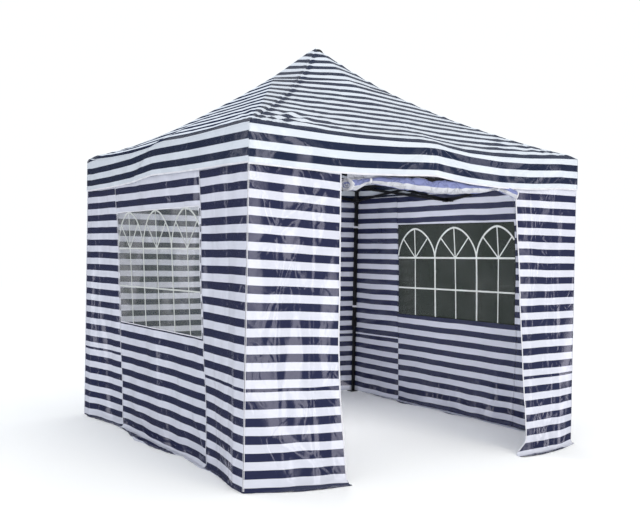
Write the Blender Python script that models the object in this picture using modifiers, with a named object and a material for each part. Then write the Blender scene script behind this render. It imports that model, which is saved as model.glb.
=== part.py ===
"""Striped pop-up gazebo, 3 m square: a folding steel frame on four telescopic legs, a pyramid
canopy with a valance, four cloth side walls, two of them with a window, and a front wall whose
doorway has its door rolled up under the valance.

Metres, +Z up. The origin is on the ground under the peak. The doorway faces -Y. Sides are
numbered anticlockwise from the front: 0 front (-Y), 1 right (+X), 2 back (+Y), 3 left (-X).
Corners are numbered the same way from the front left one.
"""

import math

import bmesh
import bpy
from mathutils import Matrix, Vector

# Clearance between solids that touch
TOUCH = 0.0003

# Cloth, modelled thicker than the real coated polyester
CLOTH = 0.004
WALL_FACE = 1.498
VALANCE_FACE = WALL_FACE + TOUCH + CLOTH
WALL_TOP = 2.09
WALL_FOOT = 0.010

# Canopy
EAVE_CORNER = 2.280
EAVE_MIDDLE = 2.255
EAVE_SAG = 0.045
VALANCE_DROP = 0.250
PEAK = 3.240
HIP_STRAIGHT = 0.604
HIP_CURVED = 0.396
RIDGE_SAG = (0.050, 0.030, 0.030, 0.0)
SIDE_STEPS = 16
ROOF_STEPS = 10
VALANCE_STEPS = 2

# Side walls: a middle panel between two side panels, seams at this distance from the centre line.
# The front and back walls hang out at the foot, and the left one is blown in between its legs.
SEAM = 0.800
FLARE = 0.100
LEFT_FLARE = -0.115
RIGHT_FLARE = 0.0
HELD_BY_FOOT = 1.360
FLARE_TOP = 1.950
FLARE_POWER = 1.3
PANEL_ROWS = 8
SIDE_COLUMNS = 6
MIDDLE_COLUMNS = 10

# Windows
WINDOW_HALF = 0.775
WINDOW_LOW = 0.890
WINDOW_HIGH = 1.790
WINDOW_ROWS = 4
WINDOW_COLUMNS = 8
SILL_ROWS = 3
FILM = 0.002

# Doorway and its rolled door
DOOR_HALF_TOP = 0.800
DOOR_LEFT_FOOT = 0.720
DOOR_RIGHT_FOOT = 0.900
DOOR_LEFT_FLARE = FLARE / (1.0 - (DOOR_LEFT_FOOT / WALL_FACE) ** 4)
DOOR_RIGHT_FLARE = FLARE / (1.0 - (DOOR_RIGHT_FOOT / WALL_FACE) ** 4)
ROLL_HALF = 0.785
ROLL_Y = -1.457
ROLL_Z = 1.958
ROLL_DEEP = 0.040
ROLL_HIGH = 0.036
ROLL_SIDES = 16

# Legs: a square outer tube and the inner tube that slides up into it
LEG_CENTRE = 1.474
OUTER_HALF = 0.015
OUTER_WALL = 0.0015
OUTER_LOW = 0.740
OUTER_HIGH = 2.245
INNER_HALF = 0.0128
INNER_HIGH = 1.300
COLLAR_HALF = 0.019
COLLAR_LOW = 0.700
COLLAR_HIGH = 0.800
FOOT_HALF = 0.040
FOOT_THICK = 0.006

# Brackets that the trusses hang on
BRACKET_HALF = 0.024
BRACKET_LOW = 2.165
BRACKET_HIGH = 2.268
SLIDER_HALF = WALL_FACE - CLOTH - TOUCH - LEG_CENTRE
SLIDER_LOW = 2.030
SLIDER_HIGH = 2.110
CHEEK_REACH = 0.056
CHEEK_HALF_HEIGHT = 0.018
CHEEK_THICK = 0.004

# Truss bars, in two layers side by side
BAR_THICK = 0.012
BAR_HEIGHT = 0.025
LAYER = BAR_THICK / 2 + TOUCH / 2
PIN_RADIUS = 0.005
PIN_SIDES = 8
NODE_HALF = 0.016
HIGH_PIN = 2.205
LOW_PIN = 2.070
MIDDLE_HIGH_PIN = 2.212
MIDDLE_LOW_PIN = 2.015
BAR_END = 0.048

# Centre of the frame
HUB_HALF = 0.024
POLE_RADIUS = 0.0125
POLE_SIDES = 24
POLE_LOW = 1.985
CAP_RADIUS = 0.060
CAP_TIP = 0.010

# Colours
STRIPES_FROM_AFAR = (0.30, 0.32, 0.42)
ROOF_FROM_AFAR = (0.26, 0.28, 0.38)
FILM_COLOUR = (0.72, 0.76, 0.74)
STEEL_COLOUR = (0.020, 0.020, 0.022)
INNER_STEEL_COLOUR = (0.030, 0.030, 0.032)
PLASTIC_COLOUR = (0.015, 0.015, 0.016)

SIDES = ("front", "right", "back", "left")
CORNERS = ("front_left", "front_right", "back_right", "back_left")

PIECES = bpy.data.collections.new("pop_up_gazebo")
HELPERS = bpy.data.collections.new("helpers")


def clear_scene():
    for item in list(bpy.data.objects):
        bpy.data.objects.remove(item, do_unlink=True)
    bpy.context.scene.collection.children.link(PIECES)
    bpy.context.scene.collection.children.link(HELPERS)


def material(name, colour, roughness, metallic=0.0, alpha=1.0):
    made = bpy.data.materials.new(name)
    made.use_nodes = True
    shader = made.node_tree.nodes["Principled BSDF"]
    shader.inputs["Base Color"].default_value = (*colour, 1.0)
    shader.inputs["Roughness"].default_value = roughness
    shader.inputs["Metallic"].default_value = metallic
    shader.inputs["Alpha"].default_value = alpha
    return made


def add_object(name, mesh, finish, turn=0, location=(0.0, 0.0, 0.0)):
    """A piece with this mesh, placed and then turned by quarter turns about the peak's axis."""
    piece = bpy.data.objects.new(name, mesh)
    quarter = Matrix.Rotation(turn * math.pi / 2, 4, "Z")
    piece.matrix_world = quarter @ Matrix.Translation(location)
    if not mesh.materials:
        mesh.materials.append(finish)
    PIECES.objects.link(piece)
    return piece


def mesh_from(bm, name):
    mesh = bpy.data.meshes.new(name)
    bm.to_mesh(mesh)
    bm.free()
    return mesh


def box(low, high):
    """A box between two corners, as a bmesh."""
    low, high = Vector(low), Vector(high)
    bm = bmesh.new()
    place = Matrix.Translation((low + high) / 2) @ Matrix.Diagonal((*(high - low), 1.0))
    bmesh.ops.create_cube(bm, size=1.0, matrix=place)
    return bm


def bar(start, end):
    """A truss bar between two pins in an XZ plane, with square ends past the pins."""
    start, end = Vector(start), Vector(end)
    run = end - start
    length = run.length + BAR_HEIGHT
    tilt = Matrix.Rotation(-math.atan2(run.z, run.x), 4, "Y")
    size = Matrix.Diagonal((length, BAR_THICK, BAR_HEIGHT, 1.0))
    bm = bmesh.new()
    bmesh.ops.create_cube(bm, size=1.0, matrix=Matrix.Translation((start + end) / 2) @ tilt @ size)
    return bm


def rod(start, end, radius, sides):
    """A round rod between two points, as a bmesh."""
    start, end = Vector(start), Vector(end)
    run = end - start
    turn = run.to_track_quat("Z", "Y").to_matrix().to_4x4()
    bm = bmesh.new()
    bmesh.ops.create_cone(
        bm,
        cap_ends=True,
        segments=sides,
        radius1=radius,
        radius2=radius,
        depth=run.length,
        matrix=Matrix.Translation((start + end) / 2) @ turn,
    )
    return bm


def combined(name, base, added=(), cut=(), solver="EXACT"):
    """One mesh from a base shape, with shapes joined to it and then cut from it."""
    body = bpy.data.objects.new(name, mesh_from(base, name))
    HELPERS.objects.link(body)
    tools = [(shape, "UNION") for shape in added] + [(shape, "DIFFERENCE") for shape in cut]
    for shape, operation in tools:
        tool = bpy.data.objects.new(name + "_tool", mesh_from(shape, name + "_tool"))
        tool.hide_render = True
        tool.display_type = "WIRE"
        HELPERS.objects.link(tool)
        step = body.modifiers.new(operation.lower(), "BOOLEAN")
        step.operation = operation
        step.solver = solver
        step.object = tool
    graph = bpy.context.evaluated_depsgraph_get()
    result = bpy.data.meshes.new_from_object(body.evaluated_get(graph))
    for helper in list(HELPERS.objects):
        bpy.data.objects.remove(helper, do_unlink=True)
    return result


def grid_mesh(name, columns, rows, place, keep=None):
    """A grid of faces, its points moved to place(across, down), both running from 0 to 1."""
    bm = bmesh.new()
    bmesh.ops.create_grid(bm, x_segments=columns, y_segments=rows, size=0.5)
    if keep:
        outside = [face for face in bm.faces if not keep(*grid_position(face.calc_center_median()))]
        bmesh.ops.delete(bm, geom=outside, context="FACES")
    for point in bm.verts:
        point.co = place(*grid_position(point.co))
    bmesh.ops.remove_doubles(bm, verts=bm.verts, dist=TOUCH / 3)
    return mesh_from(bm, name)


def grid_position(point):
    return point.x + 0.5, 0.5 - point.y


def thicken(piece, thickness):
    """Gives an open sheet its thickness, on the side that its faces point away from."""
    shell = piece.modifiers.new("thickness", "SOLIDIFY")
    shell.thickness = thickness
    shell.offset = -1.0
    shell.use_even_offset = True


def hip_height(reach):
    """Height of the roof over a corner's diagonal, from the peak (0) to the eave (1)."""
    rise = 1.0 - reach
    climb = HIP_STRAIGHT * rise + HIP_CURVED * rise**3
    return EAVE_CORNER + (PEAK - EAVE_CORNER) * climb


def ridge_height(side, reach):
    """Height of the roof over a side's centre line, where a truss node lifts the eave."""
    straight = PEAK + (EAVE_MIDDLE - PEAK) * reach
    return straight - RIDGE_SAG[side] * math.sin(math.pi * reach)


def roof_height(side, reach, across):
    """Roof height on a side; across runs from -1 to 1 between its two hips."""
    blend = abs(across)
    sag = EAVE_SAG * math.sin(math.pi * blend) * reach**4
    return ridge_height(side, reach) * (1.0 - blend) + hip_height(reach) * blend - sag


def around(turn, across, out, height):
    """A point out from the peak's axis on one side, across along that side."""
    quarter = Matrix.Rotation(turn * math.pi / 2, 3, "Z")
    return quarter @ Vector((across, -out, height))


def canopy_point(round_about, down):
    side = min(int(round_about * 4), 3)
    across = (round_about * 4 - side) * 2.0 - 1.0
    level = down * (ROOF_STEPS + VALANCE_STEPS)
    if level <= ROOF_STEPS:
        reach = level / ROOF_STEPS
        height = roof_height(side, reach, across)
    else:
        reach = 1.0
        drop = VALANCE_DROP * (level - ROOF_STEPS) / VALANCE_STEPS
        height = roof_height(side, reach, across) - drop
    out = VALANCE_FACE * reach
    return around(side, across * out, out, height)


def make_canopy(finish):
    mesh = grid_mesh("canopy", 4 * SIDE_STEPS, ROOF_STEPS + VALANCE_STEPS, canopy_point)
    canopy = add_object("canopy", mesh, finish)
    thicken(canopy, CLOTH)


def flare_at(along, height, most):
    """How far a wall hangs out from the vertical; in, where most is negative, and then only
    between the feet of its legs.
    """
    if height >= FLARE_TOP:
        return 0.0
    held = WALL_FACE if most > 0.0 else HELD_BY_FOOT
    across = min(1.0, abs(along) / held)
    return most * (1.0 - across**4) * (1.0 - height / FLARE_TOP) ** FLARE_POWER


def evenly(start, end, steps):
    return [start + (end - start) * step / steps for step in range(steps + 1)]


def wall_sheet(name, turn, edges, finish, columns, flare=FLARE, levels=None, stations=None,
               hole=False, thickness=CLOTH):
    """A panel of a side wall between two edges, each given as its top and its foot."""
    levels = levels or [WALL_TOP, *evenly(FLARE_TOP, WALL_FOOT, PANEL_ROWS)]
    stations = stations or evenly(0.0, 1.0, columns)

    def place(across, down):
        height = levels[round(down * (len(levels) - 1))]
        share = stations[round(across * (len(stations) - 1))]
        fallen = min(1.0, (WALL_TOP - height) / (WALL_TOP - WALL_FOOT))
        start, end = (top + (foot - top) * fallen for top, foot in edges)
        along = start + (end - start) * share
        out = WALL_FACE + flare_at(along, height, flare)
        return around(turn, along, out, height)

    def keep(across, down):
        column = int(across * (len(stations) - 1))
        row = int(down * (len(levels) - 1))
        middle = (levels[row] + levels[row + 1]) / 2
        edge = column in (0, len(stations) - 2)
        return edge or not WINDOW_LOW < middle < WINDOW_HIGH

    mesh = grid_mesh(name, len(stations) - 1, len(levels) - 1, place, keep if hole else None)
    piece = add_object(name, mesh, finish)
    thicken(piece, thickness)
    return piece


def straight(position):
    """A panel edge that is at the same place at the top and at the foot."""
    return position, position


def make_side_panels(turn, finish, flare):
    """The two outer panels of a window wall or of the back wall."""
    side = SIDES[turn]
    corner = WALL_FACE if turn % 2 == 0 else WALL_FACE - CLOTH - TOUCH
    seam = SEAM + TOUCH / 2
    first, second = {0: ("left", "right"), 1: ("front", "back"), 2: ("right", "left"),
                     3: ("back", "front")}[turn]
    wall_sheet(f"{side}_wall_{first}_panel", turn, (straight(-corner), straight(-seam)), finish,
               SIDE_COLUMNS, flare)
    wall_sheet(f"{side}_wall_{second}_panel", turn, (straight(seam), straight(corner)), finish,
               SIDE_COLUMNS, flare)


def make_window_wall(turn, cloth, film, flare):
    """A side wall with a window that fills its middle panel but for a border."""
    side = SIDES[turn]
    make_side_panels(turn, cloth, flare)
    seam = SEAM - TOUCH / 2
    border = (seam - WINDOW_HALF) / (2 * seam)
    stations = [0.0, *evenly(border, 1.0 - border, WINDOW_COLUMNS), 1.0]
    beside = evenly(WINDOW_HIGH, WINDOW_LOW, WINDOW_ROWS)
    levels = [WALL_TOP, FLARE_TOP, *beside, *evenly(WINDOW_LOW, WALL_FOOT, SILL_ROWS)[1:]]
    wall_sheet(f"{side}_window_panel", turn, (straight(-seam), straight(seam)), cloth,
               MIDDLE_COLUMNS, flare, levels, stations, hole=True)
    clear = WINDOW_HALF - TOUCH
    panes = [WINDOW_HIGH - TOUCH, *beside[1:-1], WINDOW_LOW + TOUCH]
    wall_sheet(f"{side}_window", turn, (straight(-clear), straight(clear)), film,
               WINDOW_COLUMNS, flare, panes, thickness=FILM)


def make_back_wall(finish):
    make_side_panels(2, finish, FLARE)
    seam = SEAM - TOUCH / 2
    wall_sheet("back_wall_middle_panel", 2, (straight(-seam), straight(seam)), finish,
               MIDDLE_COLUMNS)


def make_front_wall(finish):
    """Two panels beside the doorway; their free edges hang a little askew."""
    wall_sheet("front_wall_left_panel", 0,
               (straight(-WALL_FACE), (-DOOR_HALF_TOP, -DOOR_LEFT_FOOT)), finish,
               SIDE_COLUMNS, DOOR_LEFT_FLARE)
    wall_sheet("front_wall_right_panel", 0,
               ((DOOR_HALF_TOP, DOOR_RIGHT_FOOT), straight(WALL_FACE)), finish,
               SIDE_COLUMNS, DOOR_RIGHT_FLARE)


def make_rolled_door(finish):
    """The door cloth: a strip behind the valance, and under it the rest, rolled up."""
    roll = bmesh.new()
    lie_along = Matrix.Rotation(math.pi / 2, 4, "Y")
    flatten = Matrix.Diagonal((1.0, ROLL_DEEP, ROLL_HIGH, 1.0))
    bmesh.ops.create_cone(
        roll,
        cap_ends=True,
        segments=ROLL_SIDES,
        radius1=1.0,
        radius2=1.0,
        depth=2 * ROLL_HALF,
        matrix=Matrix.Translation((0.0, ROLL_Y, ROLL_Z)) @ flatten @ lie_along,
    )
    strip = box((-ROLL_HALF, -WALL_FACE, ROLL_Z), (ROLL_HALF, CLOTH - WALL_FACE, WALL_TOP))
    add_object("rolled_door", combined("rolled_door", strip, added=[roll]), finish)


def cheeks(direction, half, height):
    """The two plates of a bracket that hold a bar's end between them, out along one direction."""
    turn = Matrix.Rotation(direction * math.pi / 2, 4, "Z")
    inner = BAR_THICK + 1.5 * TOUCH
    made = []
    for side in (-1, 1):
        near, far = sorted((side * inner, side * (inner + CHEEK_THICK)))
        plate = box((half - CHEEK_THICK, near, height - CHEEK_HALF_HEIGHT),
                    (CHEEK_REACH, far, height + CHEEK_HALF_HEIGHT))
        plate.transform(turn)
        made.append(plate)
    return made


def make_legs(steel, inner_steel):
    tube = combined(
        "outer_leg",
        box((-OUTER_HALF, -OUTER_HALF, OUTER_LOW), (OUTER_HALF, OUTER_HALF, OUTER_HIGH)),
        added=[box((-COLLAR_HALF, -COLLAR_HALF, COLLAR_LOW), (COLLAR_HALF, COLLAR_HALF, COLLAR_HIGH))],
        cut=[box((OUTER_WALL - OUTER_HALF, OUTER_WALL - OUTER_HALF, 0.0),
                 (OUTER_HALF - OUTER_WALL, OUTER_HALF - OUTER_WALL, OUTER_HIGH + BRACKET_HALF))],
    )
    out = OUTER_HALF
    reach = out - 2 * FOOT_HALF
    sliding = combined(
        "inner_leg",
        box((-INNER_HALF, -INNER_HALF, 0.0), (INNER_HALF, INNER_HALF, INNER_HIGH)),
        added=[box((-out, -out, 0.0), (-reach, -reach, FOOT_THICK))],
    )
    for turn, corner in enumerate(CORNERS):
        spot = (-LEG_CENTRE, -LEG_CENTRE, 0.0)
        add_object(f"outer_leg_{corner}", tube, steel, turn, spot)
        add_object(f"inner_leg_{corner}", sliding, inner_steel, turn, spot)


def make_brackets(plastic):
    """A fixed bracket on top of each outer leg, and below it a slider locked on the leg."""
    hole = OUTER_HALF + TOUCH
    bore = (-hole, -hole), (hole, hole)
    top = combined(
        "corner_bracket",
        box((-BRACKET_HALF, -BRACKET_HALF, BRACKET_LOW), (BRACKET_HALF, BRACKET_HALF, BRACKET_HIGH)),
        added=cheeks(0, BRACKET_HALF, HIGH_PIN) + cheeks(1, BRACKET_HALF, HIGH_PIN),
        cut=[box((*bore[0], BRACKET_LOW - hole), (*bore[1], OUTER_HIGH + TOUCH))],
    )
    slider = combined(
        "slider",
        box((-SLIDER_HALF, -SLIDER_HALF, SLIDER_LOW), (SLIDER_HALF, SLIDER_HALF, SLIDER_HIGH)),
        added=cheeks(0, SLIDER_HALF, LOW_PIN) + cheeks(1, SLIDER_HALF, LOW_PIN),
        cut=[box((*bore[0], SLIDER_LOW - hole), (*bore[1], SLIDER_HIGH + hole))],
    )
    for turn, corner in enumerate(CORNERS):
        spot = (-LEG_CENTRE, -LEG_CENTRE, 0.0)
        add_object(f"corner_bracket_{corner}", top, plastic, turn, spot)
        add_object(f"slider_{corner}", slider, plastic, turn, spot)


def crossing(low_start, high_start, low_end, high_end):
    """Height and place where a falling and a rising bar cross."""
    start_gap = (high_start - low_start).z
    end_gap = (high_end - low_end).z
    share = start_gap / (start_gap + end_gap)
    return high_start.lerp(low_end, share)


def scissor(start_x, start_low, start_high, end_x, end_low, end_high, layer):
    """Two crossed bars and the pin through them, in the plane y = 0."""
    falling = Vector((start_x, layer, start_high)), Vector((end_x, layer, end_low))
    rising = Vector((start_x, -layer, start_low)), Vector((end_x, -layer, end_high))
    cross = crossing(rising[0], falling[0], falling[1], rising[1])
    pin_half = BAR_THICK + TOUCH
    pin = rod((cross.x, -pin_half, cross.z), (cross.x, pin_half, cross.z), PIN_RADIUS, PIN_SIDES)
    return [bar(*falling), bar(*rising), pin]


def node_block(height):
    """A three-way joint at the middle of a side: left, right and in to the centre."""
    low = (-NODE_HALF, -NODE_HALF, height - NODE_HALF)
    high = (NODE_HALF, NODE_HALF, height + NODE_HALF)
    plates = [plate for direction in range(3) for plate in cheeks(direction, NODE_HALF, height)]
    pin_half = BAR_THICK + TOUCH + CHEEK_THICK
    pins = []
    for place in (-BAR_END, BAR_END):
        start, end = (place, -pin_half, height), (place, pin_half, height)
        pins.append(rod(start, end, PIN_RADIUS, PIN_SIDES))
    return [box(low, high), *plates, *pins]


def make_trusses(steel):
    """Along each side two crossed pairs of bars, and from each side's middle one in to the hub."""
    leg = LEG_CENTRE - BAR_END
    left = scissor(-leg, LOW_PIN, HIGH_PIN, -BAR_END, MIDDLE_LOW_PIN, MIDDLE_HIGH_PIN, LAYER)
    right = scissor(BAR_END, MIDDLE_LOW_PIN, MIDDLE_HIGH_PIN, leg, LOW_PIN, HIGH_PIN, LAYER)
    joints = node_block(MIDDLE_HIGH_PIN) + node_block(MIDDLE_LOW_PIN)
    side_truss = combined("side_truss", left[0], added=left[1:] + right + joints, solver="MANIFOLD")
    inward = scissor(BAR_END - LEG_CENTRE, MIDDLE_LOW_PIN, MIDDLE_HIGH_PIN, -BAR_END,
                     MIDDLE_LOW_PIN, MIDDLE_HIGH_PIN, LAYER)
    inner_truss = combined("inner_truss", inward[0], added=inward[1:])
    for turn, side in enumerate(SIDES):
        add_object(f"{side}_truss", side_truss, steel, turn, (0.0, -LEG_CENTRE, 0.0))
        add_object(f"{side}_inner_truss", inner_truss, steel, turn + 1)


def make_hubs(plastic):
    """The upper and lower hub that the inner trusses meet at, both on the centre pole."""
    hole = POLE_RADIUS + TOUCH
    for name, height in (("upper_hub", MIDDLE_HIGH_PIN), ("lower_hub", MIDDLE_LOW_PIN)):
        low, high = height - HUB_HALF, height + HUB_HALF
        plates = [plate for direction in range(4) for plate in cheeks(direction, HUB_HALF, height)]
        mesh = combined(
            name,
            box((-HUB_HALF, -HUB_HALF, low), (HUB_HALF, HUB_HALF, high)),
            added=plates,
            cut=[rod((0.0, 0.0, low - hole), (0.0, 0.0, high + hole), hole, POLE_SIDES)],
        )
        add_object(name, mesh, plastic)


def make_pole(steel, plastic):
    """The centre pole and the rounded cap on it that holds up the peak of the canopy."""
    first = 1.0 / ROOF_STEPS
    falls = [(PEAK - roof_height(side, first, share)) / math.hypot(1.0, share)
             for side in range(len(SIDES)) for share in evenly(0.0, 1.0, SIDE_STEPS)]
    slope = max(falls) / (VALANCE_FACE * first)
    inside = PEAK - CLOTH * math.sqrt(1.0 + slope * slope) - 3 * TOUCH
    top = inside - slope * CAP_TIP
    rim = inside - slope * CAP_RADIUS
    cap = bmesh.new()
    bmesh.ops.create_cone(
        cap,
        cap_ends=True,
        segments=POLE_SIDES,
        radius1=CAP_RADIUS,
        radius2=CAP_TIP,
        depth=top - rim,
        matrix=Matrix.Translation((0.0, 0.0, (top + rim) / 2)),
    )
    add_object("pole_cap", mesh_from(cap, "pole_cap"), plastic)
    pole = rod((0.0, 0.0, POLE_LOW), (0.0, 0.0, rim - TOUCH), POLE_RADIUS, POLE_SIDES)
    add_object("centre_pole", mesh_from(pole, "centre_pole"), steel)


def main():
    clear_scene()
    striped = material("striped_cloth", STRIPES_FROM_AFAR, roughness=0.45)
    roof_cloth = material("roof_cloth", ROOF_FROM_AFAR, roughness=0.40)
    film = material("window_film", FILM_COLOUR, roughness=0.15, alpha=0.45)
    steel = material("black_steel", STEEL_COLOUR, roughness=0.42, metallic=0.6)
    inner_steel = material("inner_leg_steel", INNER_STEEL_COLOUR, roughness=0.38, metallic=0.6)
    plastic = material("black_plastic", PLASTIC_COLOUR, roughness=0.55)

    make_canopy(roof_cloth)
    make_front_wall(striped)
    make_rolled_door(striped)
    make_window_wall(1, striped, film, RIGHT_FLARE)
    make_back_wall(striped)
    make_window_wall(3, striped, film, LEFT_FLARE)
    make_legs(steel, inner_steel)
    make_brackets(plastic)
    make_trusses(steel)
    make_hubs(plastic)
    make_pole(steel, plastic)


main()
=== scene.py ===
"""Looks of the striped pop-up gazebo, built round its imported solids.

Metres, +Z up, the origin on the ground under the peak, the doorway facing -Y. Sides are numbered
anticlockwise from the front: 0 front (-Y), 1 right (+X), 2 back (+Y), 3 left (-X). A place on a
wall is (along, height): along runs to the right as seen from outside.
"""

import math

import bpy
import numpy as np
from mathutils import Matrix, Vector


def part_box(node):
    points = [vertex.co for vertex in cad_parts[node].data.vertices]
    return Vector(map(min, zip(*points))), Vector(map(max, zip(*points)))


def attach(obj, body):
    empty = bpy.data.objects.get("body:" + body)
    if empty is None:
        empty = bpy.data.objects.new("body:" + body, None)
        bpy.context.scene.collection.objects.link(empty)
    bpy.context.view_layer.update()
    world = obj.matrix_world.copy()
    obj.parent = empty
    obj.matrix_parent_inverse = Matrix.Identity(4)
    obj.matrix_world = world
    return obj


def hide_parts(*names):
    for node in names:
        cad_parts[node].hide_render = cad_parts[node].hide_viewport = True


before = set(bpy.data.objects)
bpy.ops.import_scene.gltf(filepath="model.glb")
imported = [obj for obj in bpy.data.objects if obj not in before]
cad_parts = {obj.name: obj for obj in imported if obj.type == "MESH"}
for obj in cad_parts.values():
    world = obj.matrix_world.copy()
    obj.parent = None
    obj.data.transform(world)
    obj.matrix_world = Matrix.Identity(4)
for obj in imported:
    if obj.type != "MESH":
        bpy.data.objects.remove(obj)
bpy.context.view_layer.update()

BODY = "gazebo"
SIDES = ("front", "right", "back", "left")

# Sizes read from the solids
EAVE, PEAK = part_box("canopy")[1].xz
WALL_FACE, WALL_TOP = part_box("right_wall_front_panel")[1].xz
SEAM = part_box("right_window_panel")[1].y
WINDOW_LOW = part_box("right_window")[0].z
WINDOW_HALF, WINDOW_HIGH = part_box("right_window")[1].yz
ROLL_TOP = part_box("rolled_door")[1].z

# Cloth
CLOTH = 0.0012
STRIPE = 0.1067
# How far the folds and facets that the bag left wander from straight lines
PACKING_WANDER = 0.006
FACET_WANDER = 0.018
# Long folds that split the cloth into flat facets, as (bearing from level, spacing, slope)
FRONT_PLEATS = ((3, 0.34, 0.034), (-10, 0.21, 0.030), (17, 0.47, 0.026), (48, 0.39, 0.016))
SIDE_PLEATS = ((4, 0.41, 0.026), (-12, 0.27, 0.020), (20, 0.58, 0.018), (-52, 0.50, 0.014))
PLEATS = (FRONT_PLEATS, SIDE_PLEATS, SIDE_PLEATS, SIDE_PLEATS)


# Numbers of noise, and relief

def looked_up(table, u, v, eased=False):
    """A table's value between its rows and columns; the table repeats past its ends."""
    iu, iv = np.floor(u).astype(int), np.floor(v).astype(int)
    fu, fv = u - iu, v - iv
    if eased:
        fu, fv = fu * fu * (3 - 2 * fu), fv * fv * (3 - 2 * fv)
    rows, columns = table.shape
    iu, iv, ju, jv = iu % rows, iv % columns, (iu + 1) % rows, (iv + 1) % columns
    low = table[iu, iv] * (1 - fu) + table[ju, iv] * fu
    high = table[iu, jv] * (1 - fu) + table[ju, jv] * fu
    return low * (1 - fv) + high * fv


def lattice(seed):
    """A square table of random numbers from -1 to 1."""
    return np.random.default_rng(seed).uniform(-1.0, 1.0, (64, 64))


def noise(u, v, cell, seed):
    """Smooth noise from -1 to 1, its lumps about one cell wide."""
    u, v = np.asarray(u) / cell + 700.37, np.asarray(v) / cell + 700.71
    return looked_up(lattice(seed), u, v, eased=True)


def ridged(u, v, cell, seed):
    """Noise of sharp ridges, from 0 in the hollows to 1 on the ridges."""
    return 1.0 - np.abs(noise(u, v, cell, seed))


def smooth(x, low, high):
    """0 below low, 1 above high, and a smooth step between."""
    t = np.clip((np.asarray(x, float) - low) / (high - low), 0.0, 1.0)
    return t * t * (3 - 2 * t)


def averaged(table, width):
    """A table with each row averaged over a bell of this many places."""
    bell = np.hanning(width) / np.hanning(width).sum()
    padded = np.pad(table, ((0, 0), (width // 2, width // 2)), mode="edge")
    return np.array([np.convolve(row, bell, "valid") for row in padded])


def crease_relief(u, v, creases):
    """Relief of creases, each (start u, start v, end u, end v, height, half width)."""
    relief = np.zeros(np.broadcast(u, v).shape)
    for u0, v0, u1, v1, height, half in creases:
        du, dv = u1 - u0, v1 - v0
        share = ((u - u0) * du + (v - v0) * dv) / (du * du + dv * dv)
        near = np.clip(share, 0.0, 1.0)
        away = np.hypot(u - u0 - near * du, v - v0 - near * dv)
        relief += height * np.sin(np.pi * near) ** 0.5 * np.exp(-away / half)
    return relief


def scattered(seed, count, low, high, angles, lengths, heights, halves):
    """Random creases with their middles between two places; angles in degrees from level."""
    rng = np.random.default_rng(seed)
    made = []
    for _ in range(count):
        middle = rng.uniform(low, high)
        angle = math.radians(rng.uniform(*angles)) * rng.choice((-1, 1))
        reach = rng.uniform(*lengths) / 2
        step = reach * math.cos(angle), reach * math.sin(angle)
        height = rng.uniform(*heights) * rng.choice((-1, 1))
        made.append((middle[0] - step[0], middle[1] - step[1], middle[0] + step[0],
                     middle[1] + step[1], height, rng.uniform(*halves)))
    return made


def packing_folds(u, v, columns, rows, height, half):
    """The grid of sharp folds that cloth keeps from its bag; every other fold points in."""
    relief = np.zeros(np.broadcast(u, v).shape)
    for places, seed, across, run in ((columns, 50, u, v), (rows, 80, v, u)):
        for number, place in enumerate(places):
            wander = PACKING_WANDER * noise(run, 0 * run, 0.35, seed + number)
            relief += (-1) ** number * height * np.exp(-np.abs(across - place - wander) / half)
    return relief


def pleats(u, v, waves, seed):
    """Flat facets between long straight creases."""
    relief = np.zeros(np.broadcast(u, v).shape)
    for number, (bearing, spacing, slope) in enumerate(waves):
        turn = math.radians(bearing)
        place = u * math.cos(turn) + v * math.sin(turn)
        place = place + 0.30 * spacing * noise(place, 0 * place, 1.7 * spacing, seed + number)
        place = place + 0.05 * spacing * noise(u, v, 0.30, seed + 20 + number)
        relief += slope * spacing * (np.abs(np.mod(place / spacing, 1.0) - 0.5) - 0.25)
    return relief


def facets(u, v, cell_u, cell_v, height, seed):
    """Tilted flat facets with sharp edges, as packing leaves them."""
    a = (u + FACET_WANDER * noise(v, u, 0.4, seed + 1)) / cell_u + 700.3
    b = (v + FACET_WANDER * noise(u, v, 0.4, seed + 2)) / cell_v + 700.6
    return height * looked_up(lattice(seed), a, b)


# Making meshes

def in_scene(name, data):
    """A new object in the scene from a mesh, a lamp or a camera."""
    made = bpy.data.objects.new(name, data)
    bpy.context.scene.collection.objects.link(made)
    return made


def new_piece(name, mesh, finish):
    piece = in_scene(name, mesh)
    mesh.materials.append(finish)
    mesh.polygons.foreach_set("use_smooth", np.ones(len(mesh.polygons), bool))
    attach(piece, BODY)
    return piece


def grid_faces(rows, columns):
    """Faces of a grid of points numbered row by row, seen from outside anticlockwise."""
    corner = np.arange(rows - 1)[:, None] * columns + np.arange(columns - 1)
    faces = np.stack([corner, corner + columns, corner + columns + 1, corner + 1], -1)
    return faces.reshape(-1, 4)


def mesh_of(name, points, faces, cloth=None):
    """A mesh; cloth gives each face corner's place on the uncut cloth, in metres."""
    mesh = bpy.data.meshes.new(name)
    mesh.vertices.add(len(points))
    mesh.vertices.foreach_set("co", np.asarray(points, np.float32).ravel())
    sizes = np.full(len(faces), faces.shape[1], np.int32)
    mesh.loops.add(faces.size)
    mesh.loops.foreach_set("vertex_index", faces.ravel().astype(np.int32))
    mesh.polygons.add(len(faces))
    mesh.polygons.foreach_set("loop_start", np.cumsum(sizes) - sizes)
    if cloth is not None:
        layer = mesh.uv_layers.new(name="cloth")
        layer.data.foreach_set("uv", np.asarray(cloth, np.float32).ravel())
    mesh.update(calc_edges=True)
    mesh.validate()
    return mesh


def thicken(piece, thickness, offset):
    shell = piece.modifiers.new("thickness", "SOLIDIFY")
    shell.thickness = thickness
    shell.offset = offset
    shell.use_even_offset = False


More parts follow.
